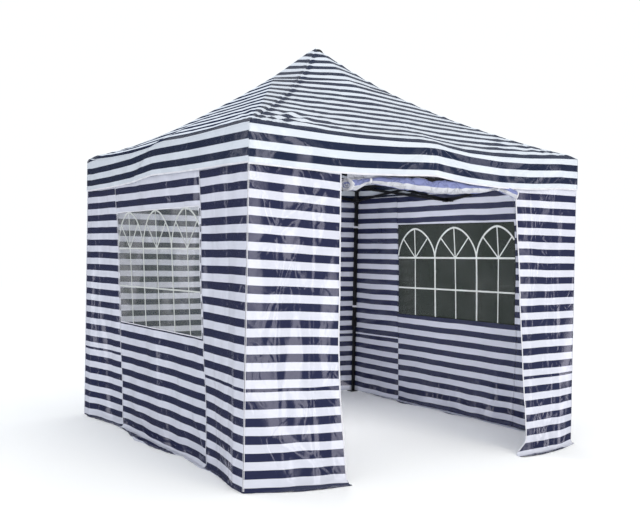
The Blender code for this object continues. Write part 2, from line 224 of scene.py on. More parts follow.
def new_sheet(name, points, finish, thickness=CLOTH, offset=-1.0, faces=None, cloth=None):
    """A thick sheet over a grid of points, or over some faces of it; cloth is as in mesh_of."""
    if faces is None:
        faces = grid_faces(*points.shape[:2])
    used, faces = np.unique(faces, return_inverse=True)
    mesh = mesh_of(name, points.reshape(-1, 3)[used], faces.reshape(-1, 4), cloth)
    piece = new_piece(name, mesh, finish)
    thicken(piece, thickness, offset)
    return piece


def joined(name, pieces):
    """One piece from several that share a finish, with their thickness kept."""
    graph = bpy.context.evaluated_depsgraph_get()
    points, faces, first = [], [], 0
    for piece in pieces:
        mesh = piece.evaluated_get(graph).to_mesh()
        spots = np.empty(len(mesh.vertices) * 3, np.float32)
        mesh.vertices.foreach_get("co", spots)
        mesh.calc_loop_triangles()
        corners = np.empty(len(mesh.loop_triangles) * 3, np.int32)
        mesh.loop_triangles.foreach_get("vertices", corners)
        points.append(spots.reshape(-1, 3))
        faces.append(corners.reshape(-1, 3) + first)
        first += len(points[-1])
        piece.evaluated_get(graph).to_mesh_clear()
    finish = pieces[0].data.materials[0]
    for piece in pieces:
        bpy.data.objects.remove(piece, do_unlink=True)
    whole = new_piece(name, mesh_of(name, np.concatenate(points), np.concatenate(faces)), finish)
    whole.data.set_sharp_from_angle(angle=math.radians(40))
    return whole


def turned(side, across, out, height):
    """Points out from the peak's axis on one side, as an array of x, y, z."""
    across, out, height = np.broadcast_arrays(across, out, height)
    cos, sin = round(math.cos(side * math.pi / 2)), round(math.sin(side * math.pi / 2))
    return np.stack([across * cos + out * sin, across * sin - out * cos, height], -1)


# Materials

class Finish:
    """A material in the making; its textures go by the place on the object or on the cloth."""

    def __init__(self, name, place="object"):
        self.material = bpy.data.materials.new(name)
        self.material.use_nodes = True
        self.tree = self.material.node_tree
        self.shader = self.tree.nodes["Principled BSDF"]
        if place == "cloth":
            self.place = self.node("UVMap", uv_map="cloth").outputs[0]
        elif place == "object":
            self.place = self.node("TexCoord").outputs["Object"]

    def put(self, node, inputs):
        """Values and links for a node's inputs; a colour is a tuple of three."""
        for key, value in inputs.items():
            if isinstance(value, bpy.types.NodeSocket):
                self.tree.links.new(value, node.inputs[key])
            else:
                node.inputs[key].default_value = (*value, 1.0) if isinstance(value, tuple) else value

    def node(self, kind, inputs=None, **settings):
        made = self.tree.nodes.new("ShaderNode" + kind)
        for key, value in settings.items():
            setattr(made, key, value)
        self.put(made, inputs or {})
        return made

    def maths(self, operation, *values):
        return self.node("Math", dict(enumerate(values)), operation=operation).outputs[0]

    def mix(self, share, first, second, blend="MIX"):
        inputs = {0: share, 6: first, 7: second}
        return self.node("Mix", inputs, data_type="RGBA", blend_type=blend).outputs[2]

    def ranged(self, value, low, high, new_low=0.0, new_high=1.0, kind="LINEAR"):
        inputs = {0: value, 1: low, 2: high, 3: new_low, 4: new_high}
        return self.node("MapRange", inputs, interpolation_type=kind).outputs[0]

    def noise(self, scale, detail=2.0, **more):
        inputs = {"Vector": self.place, "Scale": scale, "Detail": detail, **more}
        return self.node("TexNoise", inputs).outputs[0]

    def ribs(self, scale, direction):
        inputs = {"Vector": self.place, "Scale": scale}
        return self.node("TexWave", inputs, bands_direction=direction).outputs[1]

    def bumped(self, height, strength, distance, **more):
        """Put a bump on the shader, over the one given as Normal."""
        inputs = {"Height": height, "Strength": strength, "Distance": distance, **more}
        self.put(self.shader, {"Normal": self.node("Bump", inputs).outputs[0]})


def striped_cloth(name, navy, white, roughness, crumple, gloss, hanging_gloss=None,
                  crinkled=(4.0, 0.0022)):
    """Coated polyester in navy and white; navy starts at each whole stripe and runs down.

    With hanging_gloss, which is the valance's, the roof above it loses its gloss at grazing sight,
    where the weave hides the coating. crinkled is the scale and depth of the sharp creases.
    """
    cloth = Finish(name, place="cloth")
    level = cloth.node("SeparateXYZ", {0: cloth.place}).outputs[1]
    from_navy = cloth.maths("PINGPONG", cloth.maths("MULTIPLY_ADD", level, 1 / STRIPE, 0.25), 0.5)
    is_white = cloth.ranged(from_navy, 0.238, 0.262, kind="SMOOTHSTEP")
    blotch, grain = cloth.noise(3.0, 4.0), cloth.noise(260.0)
    shade = cloth.maths("ADD", cloth.ranged(blotch, 0.3, 0.7, 0.93, 1.02),
                        cloth.ranged(grain, 0.3, 0.7, -0.015, 0.015))
    shade = cloth.node("CombineColor", {0: shade, 1: shade, 2: shade}).outputs[0]
    rough = cloth.maths("ADD", cloth.ranged(blotch, 0.3, 0.7, roughness - 0.03, roughness + 0.05),
                        cloth.ranged(is_white, 0.0, 1.0, -0.04, 0.03))
    cloth.put(cloth.shader, {
        "Base Color": cloth.mix(1.0, cloth.mix(is_white, navy, white), shade, "MULTIPLY"),
        "Roughness": rough, "Specular IOR Level": gloss})
    if hanging_gloss is not None:
        facing = cloth.node("LayerWeight", {"Blend": 0.5}).outputs["Facing"]
        on_roof = cloth.ranged(facing, 0.58, 0.88, gloss, 0.0)
        spot = cloth.node("SeparateXYZ", {0: cloth.node("TexCoord").outputs["Object"]})
        out = cloth.maths("MAXIMUM", cloth.maths("ABSOLUTE", spot.outputs[0]),
                          cloth.maths("ABSOLUTE", spot.outputs[1]))
        hanging = cloth.ranged(out, EAVE - 0.006, EAVE - 0.002)
        more = cloth.maths("SUBTRACT", hanging_gloss, on_roof)
        both = cloth.maths("MULTIPLY_ADD", hanging, more, on_roof)
        cloth.put(cloth.shader, {"Specular IOR Level": both})
    crinkle = cloth.noise(crinkled[0], Roughness=0.55, Distortion=0.8)
    edge = cloth.ranged(cloth.maths("ABSOLUTE", cloth.maths("SUBTRACT", crinkle, 0.5)), 0.0, 0.05)
    folds = cloth.node("Bump", {"Height": edge, "Strength": crumple, "Distance": crinkled[1]})
    weave = cloth.maths("MULTIPLY", cloth.ribs(210.0, "X"), cloth.ribs(210.0, "Y"))
    cloth.bumped(weave, 0.05, 0.0004, Normal=folds.outputs[0])
    return cloth.material


def plain_cloth(name, colour, roughness=0.55):
    """White tape, piping and binding, with a ribbed weave."""
    cloth = Finish(name)
    worn = cloth.ranged(cloth.noise(14.0, 4.0), 0.3, 0.7)
    darker = tuple(0.82 * c for c in colour)
    cloth.put(cloth.shader, {"Base Color": cloth.mix(worn, darker, colour), "Roughness": roughness})
    cloth.bumped(cloth.ribs(190.0, "Z"), 0.25, 0.0005)
    return cloth.material


def window_film(name, colour, alpha):
    """Clear plastic with a faint haze and soft ripples."""
    film = Finish(name)
    haze = film.noise(2.2, 5.0)
    lighter = tuple(min(1.0, 1.15 * c) for c in colour)
    film.put(film.shader, {
        "Base Color": film.mix(haze, colour, lighter),
        "Roughness": film.ranged(haze, 0.35, 0.7, 0.10, 0.22),
        "Alpha": film.ranged(haze, 0.3, 0.7, alpha * 0.88, alpha * 1.12)})
    film.bumped(film.noise(5.0, 3.0), 0.35, 0.006)
    return film.material


def coated_metal(name, colour, roughness, scuff, metallic=0.35):
    """Powder-coated steel: a fine orange peel, and worn lighter patches."""
    metal = Finish(name)
    wear = metal.noise(22.0, 8.0, Roughness=0.7)
    worn = metal.ranged(wear, 0.60, 0.72, kind="SMOOTHSTEP")
    metal.put(metal.shader, {
        "Base Color": metal.mix(worn, colour, scuff), "Metallic": metallic,
        "Roughness": metal.ranged(wear, 0.3, 0.7, roughness - 0.06, roughness + 0.08)})
    metal.bumped(metal.noise(420.0), 0.22, 0.0006)
    return metal.material


def moulded_plastic(name, colour):
    plastic = Finish(name)
    cloud = plastic.noise(30.0, 5.0)
    lighter = tuple(1.9 * c for c in colour)
    plastic.put(plastic.shader, {
        "Base Color": plastic.mix(plastic.ranged(cloud, 0.35, 0.75), colour, lighter),
        "Roughness": plastic.ranged(cloud, 0.3, 0.7, 0.46, 0.60)})
    plastic.bumped(plastic.noise(700.0), 0.3, 0.0004)
    return plastic.material


def matt(name, shade, glow=0.0):
    """A plain matt finish for the stage."""
    finish = Finish(name, place=None)
    finish.put(finish.shader, {"Base Color": (shade, shade, shade), "Roughness": 1.0,
                               "Specular IOR Level": 0.0})
    if glow:
        finish.put(finish.shader, {"Emission Color": (0.90, 0.86, 1.0), "Emission Strength": glow})
    return finish.material


WALL_CLOTH = striped_cloth("wall_cloth", (0.024, 0.028, 0.070), (0.70, 0.715, 0.82), 0.075, 0.28, 0.85)
ROOF_CLOTH = striped_cloth("roof_cloth", (0.015, 0.023, 0.056), (0.70, 0.75, 0.83), 0.15, 0.3, 0.34, 0.85)
# The door's navy is a pale lavender. It is one of the cloth's stripes, coloured as painted shade and painted
# sky reflection on the roll's upper side, where ROLL_SPLIT puts that band; its white is the cloth's own.
DOOR_STRIPES_AND_PAINTED_SHADE = striped_cloth("door_cloth_and_painted_shade", (0.22, 0.25, 0.49), (0.66, 0.67, 0.74), 0.40, 0.9, 0.4,
                           crinkled=(11.0, 0.007))
WHITE_TAPE = plain_cloth("white_tape", (0.80, 0.80, 0.86))
LEFT_FILM = window_film("left_window_film", (0.22, 0.245, 0.19), 0.18)
RIGHT_FILM = window_film("right_window_film", (0.030, 0.038, 0.030), 0.88)
LEFT_PRINT = plain_cloth("left_window_print", (0.67, 0.69, 0.68), 0.42)
RIGHT_PRINT = plain_cloth("right_window_print", (0.84, 0.86, 0.84), 0.42)
STEEL = coated_metal("black_steel", (0.012, 0.012, 0.014), 0.44, (0.09, 0.09, 0.10))
INNER_STEEL = coated_metal("inner_leg_steel", (0.018, 0.018, 0.020), 0.38, (0.14, 0.14, 0.15), 0.5)
PLASTIC = moulded_plastic("black_plastic", (0.012, 0.012, 0.013))


# Side walls

# Heights of the seam where a wall's two cuts of cloth meet
WALL_SEAM = 0.623
RIGHT_PANEL_SEAM = 0.570
# The cloth starts to turn on to the ground at the first of these heights; heights below 0, down to
# the second, stand for the cloth that lies there
HEM_CURVE = 0.025
FOOT = -0.06
# The right and left walls may stand out this far, and bend back softly within the last of it
SIDE_LIMIT, SIDE_SOFT = 1.600, 0.015
# The cloth keeps close to a leg beyond this place along a wall
LEG_ZONE = 1.36
# The creases fade out across this margin on each side of a window's edge
WINDOW_MARGIN = 0.04
# Where the door's edges are, at the top of the wall and at the ground
DOOR_LEFT = (-0.802, -0.800)
DOOR_RIGHT = (0.800, 0.885)
# The door's right edge kicks out along the ground, below a height
FLARE, FLARE_HEIGHT = 0.125, 0.10
# How each wall hangs out at its foot: how far, below what height, and the powers of its growth
# downwards and along the wall
HANG = {
    "front_left": (0.135, 0.95, 1.5, 5.0),
    "front_right": (0.112, 1.95, 1.0, 4.0),
    "right": (0.004, 1.95, 1.2, 4.0),
    "back": (0.100, 1.95, 1.3, 4.0),
    "left": (-0.118, 2.03, 0.95, 4.0),
}
# The wind blows the right wall out: how far, at heights and at places along it
BLOWN_ALONG = (-1.36, -1.10, -0.80, -0.555, -0.02, 0.515, 0.80, 1.10, 1.36)
BLOWN_HEIGHTS = (0.0, 0.20, 0.55, 0.90, 1.47, 1.79, 2.03)
BLOWN_OUT = (
    (0.0, 0.045, 0.050, 0.050, 0.050, 0.050, 0.060, 0.040, 0.0),
    (0.0, 0.050, 0.060, 0.060, 0.060, 0.050, 0.060, 0.040, 0.0),
    (0.0, 0.055, 0.080, 0.080, 0.080, 0.045, 0.050, 0.030, 0.0),
    (0.0, 0.055, 0.086, 0.092, 0.086, 0.032, 0.030, 0.018, 0.0),
    (0.0, 0.045, 0.080, 0.088, 0.062, 0.025, 0.015, 0.008, 0.0),
    (0.0, 0.030, 0.055, 0.060, 0.035, 0.004, 0.008, 0.004, 0.0),
    (0.0, 0.0, 0.0, 0.0, 0.0, 0.0, 0.0, 0.0, 0.0))
BLOWN_WIDTH, BLOWN_TOP = 3.0, 2.1
# How much cloth trails on the ground, out (+) or in (-), as (along, length), for each side
TRAILS = (
    ((-1.40, 0.0), (-1.20, 0.020), (-0.95, 0.035), (-0.80, 0.030), (0.70, 0.066), (1.05, 0.066),
     (1.25, 0.052), (1.42, 0.030), (1.50, 0.016)),
    ((-1.40, 0.0), (-1.20, -0.030), (-0.90, -0.058), (-0.30, -0.060), (0.20, -0.066), (0.62, -0.090),
     (0.80, -0.085), (1.05, -0.040), (1.25, -0.020), (1.42, 0.0)),
    ((-1.40, 0.0), (-1.10, 0.030), (-0.55, 0.046), (-0.15, 0.020), (0.30, 0.040), (0.90, 0.026),
     (1.42, 0.0)),
    ((-1.42, 0.012), (-1.15, 0.030), (-0.80, 0.035), (-0.62, 0.050), (-0.25, 0.090), (0.10, 0.074),
     (0.45, 0.034), (0.80, 0.030), (1.10, 0.014), (1.42, 0.0)))
WALL_CREASES = [
    scattered(1, 34, (-1.5, 0.0), (-0.75, 2.1), (25, 80), (0.15, 0.80), (0.0006, 0.0022), (0.006, 0.014))
    + scattered(2, 24, (0.75, 0.0), (1.5, 2.1), (10, 70), (0.12, 0.60), (0.0006, 0.0020), (0.006, 0.014))]
WALL_CREASES += [
    scattered(seed, 60, (-1.5, 0.0), (1.5, 2.1), (10, 80), (0.15, 0.70), (0.0006, 0.0020), (0.006, 0.016))
    for seed in (3, 4, 5)]
# Creases that the photo shows one by one, in the same form
SHOWN_CREASES = (
    [(-0.94, 1.92, -1.45, 1.54, 0.010, 0.018), (-0.92, 1.87, -1.40, 1.50, -0.007, 0.010),
     (-1.10, 1.58, -1.40, 0.95, 0.009, 0.014), (-1.22, 1.46, -1.38, 0.80, -0.007, 0.010),
     (-1.44, 0.42, -0.92, 0.06, 0.008, 0.030), (-1.20, 0.34, -0.86, 0.04, -0.006, 0.022),
     (-1.30, 1.55, -0.90, 1.42, 0.004, 0.018), (-1.12, 0.30, -1.02, 0.60, 0.005, 0.014),
     (0.86, 0.16, 1.20, 0.50, 0.006, 0.020), (1.02, 0.06, 1.42, 0.40, -0.006, 0.022),
     (0.95, 0.90, 1.05, 1.55, 0.005, 0.014), (1.12, 0.85, 1.18, 1.50, -0.004, 0.014)],
    [(-0.20, 1.98, 0.50, 1.84, 0.006, 0.020), (0.20, 0.70, 0.75, 0.20, 0.006, 0.030)],
    [(-0.60, 1.70, 0.20, 1.20, 0.006, 0.030), (0.30, 0.80, 0.90, 0.20, 0.006, 0.030)],
    [(-0.10, 1.98, 0.30, 1.86, 0.006, 0.020), (0.55, 0.35, 0.85, 0.05, 0.007, 0.025),
     (-0.70, 0.30, -0.30, 0.06, 0.006, 0.022)])
FOLD_COLUMNS = ((-1.27, -1.02, 0.96, 1.22), (-1.22, -1.0, 1.0, 1.22), (-1.2, -0.42, 0.0, 0.42, 1.2),
                (-1.22, -1.0, 1.0, 1.22))
FOLD_ROWS = (0.30, 0.86, 1.20, 1.62)
# Height and half width of a wall's packing folds, and the sizes and height of its facets
WALL_FOLDS = (0.0032, 0.012)
WALL_FACETS = (0.215, 0.235, 0.0030)
# Flat sizes that the panels were cut to
SIDE_CUT = (0.70, 2.12)
MIDDLE_CUT = (1.60, 2.12)


def hang_of(side, along):
    """The row of HANG for places on a side."""
    if side == 0:
        return "front_left" if np.mean(along) < 0 else "front_right"
    return SIDES[side]


def blown_table():
    """How far the wind blows the right wall out, by height and place, made smooth."""
    fine = np.linspace(-BLOWN_WIDTH / 2, BLOWN_WIDTH / 2, 101)
    levels = np.linspace(0.0, BLOWN_TOP, 71)
    rows = np.array([np.interp(fine, BLOWN_ALONG, row) for row in BLOWN_OUT])
    table = np.array([np.interp(levels, BLOWN_HEIGHTS, column) for column in rows.T]).T
    for _ in range(2):
        table = averaged(averaged(table, 11).T, 9).T
    return table


BLOWN_TABLE = blown_table()


def blown_out(along, height):
    across = np.clip((along + BLOWN_WIDTH / 2) / BLOWN_WIDTH * 100, 0, 99.999)
    return looked_up(BLOWN_TABLE, np.clip(height / BLOWN_TOP * 70, 0, 69.999), across)


def wall_out(side, along, height):
    """How far the outer face of a wall lies from the gazebo's axis plane."""
    along, height = np.broadcast_arrays(np.asarray(along, float), np.asarray(height, float))
    most, top, power, bow = HANG[hang_of(side, along)]
    held = WALL_FACE if most > 0 else LEG_ZONE
    across = np.clip(np.abs(along) / held, 0.0, 1.0)
    lean = most * (1.0 - across**bow) * np.clip(1.0 - height / top, 0.0, 1.0) ** power
    if side == 1:
        lean = lean + blown_out(along, height)
    seed = 100 * side
    slack = 0.35 + 0.65 * smooth(1.6 - height, 0.0, 1.5)
    ripple = 0.0045 * noise(along, height * 0.45, 0.28, seed + 11) * slack
    ripple += 0.008 * noise(along, height * 0.30, 0.55, seed + 12) * slack
    ripple += 0.0007 * noise(along, height, 0.10, seed + 13)
    # The film keeps a window nearly flat
    calm = 1.0
    if side in (1, 3):
        margin = WINDOW_MARGIN
        inside = 1 - smooth(np.abs(along), WINDOW_HALF - margin, WINDOW_HALF + margin)
        inside = inside * smooth(height, WINDOW_LOW - margin, WINDOW_LOW + margin)
        calm = 1 - 0.8 * inside * (1 - smooth(height, WINDOW_HIGH - margin, WINDOW_HIGH + margin))
    ripple *= 0.6 + 0.4 * calm
    ripple += calm * crease_relief(along, height, WALL_CREASES[side] + SHOWN_CREASES[side])
    ripple += calm * packing_folds(along, height, FOLD_COLUMNS[side], FOLD_ROWS, *WALL_FOLDS)
    ripple += calm * facets(along, height, *WALL_FACETS, seed + 14)
    ripple += calm * pleats(along, height, PLEATS[side], seed + 30)
    # Near a leg the cloth can't go in, and near the truss it is held
    near_leg = smooth(np.abs(along), LEG_ZONE - 0.12, LEG_ZONE)
    ripple = np.where(ripple < 0, ripple * (1 - near_leg), ripple * (1 - 0.6 * near_leg))
    near_top = smooth(height, 1.86, 1.99)
    ripple = ripple * (1 - near_top) + np.clip(ripple, -0.002, 0.0022) * near_top
    out = WALL_FACE + lean + ripple
    if side in (1, 3):
        start = SIDE_LIMIT - SIDE_SOFT
        over = np.maximum(out - start, 0.0)
        out = np.where(over > 0, start + SIDE_SOFT * np.tanh(over / SIDE_SOFT), out)
    return out


def wall_points(side, along, height, proud=0.0):
    """Points on a side wall, a little proud of its outer face."""
    return turned(side, along, wall_out(side, along, height) + proud, height)


def trail_of(side, along):
    """Length of cloth on the ground and its way, out or in, at places along a side."""
    places, lengths = np.array(TRAILS[side]).T
    fine = np.linspace(-EAVE, EAVE, 301)
    line = np.interp(fine, places, lengths) * (1 + 0.35 * noise(fine, 0 * fine, 0.16, 40 + side))
    return np.interp(along, fine, line)


def hem_points(side, along, cloth_height):
    """Like wall_points, but cloth below height 0 turns on to the ground and trails along it."""
    along, cloth_height = np.broadcast_arrays(along, cloth_height)
    points = wall_points(side, along, np.maximum(cloth_height, 0.0))
    trail = trail_of(side, along)
    length = np.abs(trail) + 1e-4
    turn = np.clip((HEM_CURVE - cloth_height) / (HEM_CURVE + length), 0.0, 1.0)
    free = 1 - smooth(np.abs(along), LEG_ZONE - 0.05, LEG_ZONE + 0.10)
    if side == 0:
        free = np.where(along > 0, 1.0, free)
    move = np.sign(trail) * (length + HEM_CURVE * np.clip(length / 0.03, 0, 1)) * 0.94 * turn**1.4
    points = points + turned(side, 0 * along, move * free, 0 * along)
    wave = 0.007 * ridged(along, points[..., 1 - side % 2], 0.075, 60 + side) ** 4
    points[..., 2] = np.maximum(points[..., 2], 0.002 + wave * turn * free)
    return points


def rows_between(high, low, spacing):
    return np.linspace(high, low, max(2, round((high - low) / spacing) + 1))


def foot_flare(height):
    """How far the door's right edge kicks out along the ground."""
    return FLARE * np.clip((FLARE_HEIGHT - height) / FLARE_HEIGHT, 0.0, 1.0) ** 1.3


def wall_panel(name, side, left, right, node, top_phase, low_phase, spacing=0.016, seam=WALL_SEAM,
               window=False, droop=(0.0, 0.0), stretch=(0.0, 0.0), flared=False):
    """A panel between two edges, each (along at the top, along at the foot).

    droop lowers the bands at the left and right edge; stretch does so just above the seam.
    """
    stops = (WALL_TOP, WINDOW_HIGH, WINDOW_LOW, FOOT) if window else (WALL_TOP, seam, FOOT)
    spans = [rows_between(high, low, spacing) for high, low in zip(stops, stops[1:])]
    levels = np.concatenate([spans[0]] + [span[1:] for span in spans[1:]])
    width = max(abs(right[0] - left[0]), abs(right[1] - left[1]))
    shares = np.linspace(0.0, 1.0, round(width / spacing) + 1)
    if window:
        edge = (width / 2 - WINDOW_HALF) / width
        shares = np.concatenate([[0.0, edge / 2], np.linspace(edge, 1 - edge, round(width / spacing)),
                                 [1 - edge / 2, 1.0]])
    fallen = ((WALL_TOP - levels) / WALL_TOP)[:, None]
    start = left[0] + (left[1] - left[0]) * fallen
    end = right[0] + (right[1] - right[0]) * fallen
    along = start + (end - start) * shares[None, :]
    height = np.repeat(levels[:, None], len(shares), 1)
    height = np.where(height < 0, height / -FOOT * (np.abs(trail_of(side, along)) + 1e-4), height)
    if flared:
        along = along - foot_flare(height) * (1 - shares[None, :]) ** 1.5
    points = hem_points(side, along, height)

    def at_edges(ends):
        return np.interp(np.broadcast_to(shares, height.shape), (0.0, 1.0), ends)

    above_seam = np.where(height > seam + 1e-6, np.clip((1.6 - height) / (1.6 - seam), 0.0, 1.0), 0.0)
    hung = at_edges(droop) + above_seam**1.3 * at_edges(stretch)
    hung += 0.0035 * noise(along, height, 0.33, 500 + side) + 0.0016 * noise(along, height, 0.11, 510 + side)
    hung += 0.007 * smooth(0.45 - height, 0.0, 0.4) * noise(along, height * 0.7, 0.17, 520 + side)
    if side == 1:
        hung += 0.27 * blown_out(along, np.maximum(height, 0.0)) * (1 - height / 1.48)
    faces = grid_faces(*height.shape)
    middle_u, middle_v = (values.ravel()[faces].mean(1) for values in (along, height))
    if window:
        film = (np.abs(middle_u) < WINDOW_HALF) & (middle_v < WINDOW_HIGH) & (middle_v > WINDOW_LOW)
        faces, middle_v = faces[~film], middle_v[~film]
    cloth = np.stack([along, height + hung], -1).reshape(-1, 2)[faces]
    cloth[..., 1] -= np.where(middle_v > seam, top_phase, low_phase)[:, None]
    piece = new_sheet(name, points, WALL_CLOTH, faces=faces, cloth=cloth)
    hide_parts(node)
    return piece


def make_walls():
    """Every panel. Phases are the heights where a navy band starts."""
    inside = WALL_FACE - 0.0043
    gap = 0.0004

    def add(name, side, left, right, node, phases, flat=SIDE_CUT, area=None, **more):
        piece = wall_panel(name, side, left, right, node, *phases, **more)

    add("front_wall_left_cloth", 0, (-WALL_FACE, -WALL_FACE), DOOR_LEFT, "front_wall_left_panel",
        (2.032, 0.570), spacing=0.0125, droop=(0.0, 0.028))
    add("front_wall_right_cloth", 0, DOOR_RIGHT, (WALL_FACE, WALL_FACE), "front_wall_right_panel",
        (1.987, 0.510), spacing=0.0125, droop=(0.010, 0.006), seam=RIGHT_PANEL_SEAM,
        stretch=(0.014, 0.026), flared=True)
    right_front = (1.972, 1.972 - 13 * STRIPE)
    for side, edge, first, first_phases, last, last_phases in (
            (1, inside, "front", right_front, "back", (1.975, 0.533)),
            (2, WALL_FACE, "right", (1.990, 0.540), "left", (1.990, 0.540)),
            (3, inside, "back", (1.998, 0.548), "front", (2.032, 0.570))):
        for way, left, right, phases in ((first, -edge, -SEAM - gap, first_phases),
                                         (last, SEAM + gap, edge, last_phases)):
            name = f"{SIDES[side]}_wall_{way}"
            add(f"{name}_cloth", side, (left, left), (right, right), f"{name}_panel", phases)
    add("back_wall_middle_cloth", 2, (-SEAM, -SEAM), (SEAM, SEAM), "back_wall_middle_panel",
        (1.990, 0.540), MIDDLE_CUT)
    hole = 2 * WINDOW_HALF * (WINDOW_HIGH - WINDOW_LOW)
    for side, phase in ((1, 1.972), (3, 1.993)):
        add(f"{SIDES[side]}_window_cloth", side, (-SEAM, -SEAM), (SEAM, SEAM),
            f"{SIDES[side]}_window_panel", (phase, phase), MIDDLE_CUT,
            MIDDLE_CUT[0] * MIDDLE_CUT[1] - hole, seam=-1.0, window=True)


# Tapes

TAPE_TOP, TAPE_FOOT = 2.06, 0.012
TAPE_PROUD = 0.0012
# Widths of the tapes at the corners, the doorway, the seams and the windows
CORNER_TAPE, DOOR_TAPE, SEAM_TAPE, WINDOW_TAPE = 0.004, 0.010, 0.005, 0.007


def strip(name, side, path, width, finish, proud, thickness=0.0010):
    """A flat ribbon on a wall along a path of (along, height) places."""
    path = np.asarray(path, float)
    step = np.gradient(path, axis=0)
    step /= np.linalg.norm(step, axis=1)[:, None]
    normal = np.stack([-step[:, 1], step[:, 0]], 1)
    places = np.stack([path + normal * width / 2, path - normal * width / 2], 0)
    points = wall_points(side, places[..., 0], places[..., 1], proud)
    return new_sheet(name, points, finish, thickness)


def fine_path(path, spacing=0.02):
    """A path with a point at least every spacing."""
    path = [np.array(p, float) for p in path]
    made = [path[0]]
    for start, end in zip(path, path[1:]):
        count = max(1, math.ceil(np.linalg.norm(end - start) / spacing))
        made += [start + (end - start) * step / count for step in range(1, count + 1)]
    return np.array(made)


def upright(top_place, foot_place, count=100, flare=0.0):
    """The path of a tape that runs down a wall; its places are for the wall's top and the ground."""
    heights = np.linspace(TAPE_TOP, TAPE_FOOT, count)
    fallen = (WALL_TOP - heights) / WALL_TOP
    places = top_place + (foot_place - top_place) * fallen - flare * foot_flare(heights)
    return np.stack([places, heights], -1)


def make_tapes():
    """White zip and seam tape, one piece for each wall."""
    edge, beside = WALL_FACE - 0.004, 0.006
    for side in range(4):
        paths = [(upright(place, place), CORNER_TAPE) for place in (-edge, edge)]
        if side == 0:
            paths += [(upright(DOOR_LEFT[0] - beside, DOOR_LEFT[1] - beside, 165), DOOR_TAPE),
                      (upright(DOOR_RIGHT[0] + beside, DOOR_RIGHT[1] + beside, 165, 1.0), DOOR_TAPE)]
        else:
            paths += [(upright(place, place), SEAM_TAPE) for place in (-SEAM, SEAM)]
        if side in (1, 3):
            wide, low, high = WINDOW_HALF + 0.004, WINDOW_LOW - 0.004, WINDOW_HIGH + 0.004
            border = [(-wide, low), (wide, low), (wide, high), (-wide, high), (-wide, low)]
            paths += [(fine_path([start, end]), WINDOW_TAPE) for start, end in zip(border, border[1:])]
        tapes = [strip(f"tape_{side}_{number}", side, path, width, WHITE_TAPE, TAPE_PROUD)
                 for number, (path, width) in enumerate(paths)]
        joined(f"{SIDES[side]}_wall_tape", tapes)


# Windows

# Places along the +Y way of the uprights: the middles of the arches and the legs between them
ARCH_MIDDLES = (0.520, -0.022, -0.566)
ARCH_LEGS = (0.778, 0.247, -0.296, -0.836)
ARCH_RISE = 0.288
ARCH_POWER = 1.75
# The slanting bars of an arch end at this share of its half width and rise
ARCH_SLANT = 0.66
# Heights of the two level bars, and how they fall along +Y, on the right and left walls
SPRING_BAR = {1: (1.467, -0.0105), 3: (1.500, -0.004)}
MID_BAR = {1: (1.162, -0.006), 3: (1.196, -0.010)}
# Widths of a window's bars: the arches and the level bar under them, the lower level bar, the
# uprights in the middle of an arch, the slanting bars and the legs between the arches
ARCH_WIDTH, LEVEL_WIDTH, UPRIGHT_WIDTH, SLANT_WIDTH, LEG_WIDTH = 0.017, 0.015, 0.0125, 0.012, 0.018
# Thicknesses of the film and of the bars, and the film's lap behind its panel
PANE = 0.0005
PRINT = 0.0030
WINDOW_LAP = 0.006


def bar_paths(side):
    """The white bars printed on a window: (path, width) of each."""
    way = 1 if side == 1 else -1

    def spot(y, height):
        y, height = np.broadcast_arrays(np.asarray(y, float), height)
        return np.stack([way * y, height], -1)

    spring, spring_fall = SPRING_BAR[side]
    mid, mid_fall = MID_BAR[side]
    ends = np.array([-WINDOW_HALF, WINDOW_HALF])
    paths = [(spot(ends, spring + spring_fall * ends), ARCH_WIDTH),
             (spot(ends, mid + mid_fall * ends), LEVEL_WIDTH)]
    turn = np.linspace(0.0, math.pi, 41)
    level, rise = np.cos(turn), np.sin(turn)
    size = (np.abs(level) ** ARCH_POWER + np.abs(rise) ** ARCH_POWER) ** (-1 / ARCH_POWER)
    for middle, first, last in zip(ARCH_MIDDLES, ARCH_LEGS, ARCH_LEGS[1:]):
        half = (first - last) / 2
        y = (first + last) / 2 + half * level * size
        arch = spot(y, spring + spring_fall * y + ARCH_RISE * rise * size)
        paths.append((arch[np.abs(y) <= WINDOW_HALF + 0.002], ARCH_WIDTH))
        foot = spring + spring_fall * middle
        paths.append((spot([middle, middle], [WINDOW_LOW, foot + ARCH_RISE]), UPRIGHT_WIDTH))
        for slant in (-ARCH_SLANT, ARCH_SLANT):
            tip = spot(middle + slant * half, foot + ARCH_RISE * ARCH_SLANT)
            if abs(tip[0]) < WINDOW_HALF:
                paths.append(([spot(middle, foot), tip], SLANT_WIDTH))
    for leg in ARCH_LEGS[1:3]:
        paths.append((spot([leg, leg], [WINDOW_LOW, spring + spring_fall * leg]), LEG_WIDTH))
    return paths


def make_windows():
    half = WINDOW_HALF + WINDOW_LAP
    levels = rows_between(WINDOW_HIGH + WINDOW_LAP, WINDOW_LOW - WINDOW_LAP, 0.02)
    along, height = np.meshgrid(np.linspace(-half, half, 78), levels)
    places = np.stack([along, height], -1).reshape(-1, 2)[grid_faces(*along.shape)]
    for side, film, ink, widen in ((1, RIGHT_FILM, RIGHT_PRINT, 1.0), (3, LEFT_FILM, LEFT_PRINT, 0.72)):
        name = f"{SIDES[side]}_window"
        points = wall_points(side, along, height, -CLOTH - 0.0004)
        pane = new_sheet(f"{name}_film", points, film, PANE, cloth=places)
        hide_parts(name)
        # Bars that cross lie at slightly different depths
        bars = [strip(f"bar_{number}", side, fine_path(path), width * widen, ink,
                      0.0002 + 0.00012 * (number % 3), PRINT)
                for number, (path, width) in enumerate(bar_paths(side))]
        printed = joined(f"{name}_bars", bars)


# Canopy

EAVE_CORNER, EAVE_MIDDLE = 2.280, 2.255
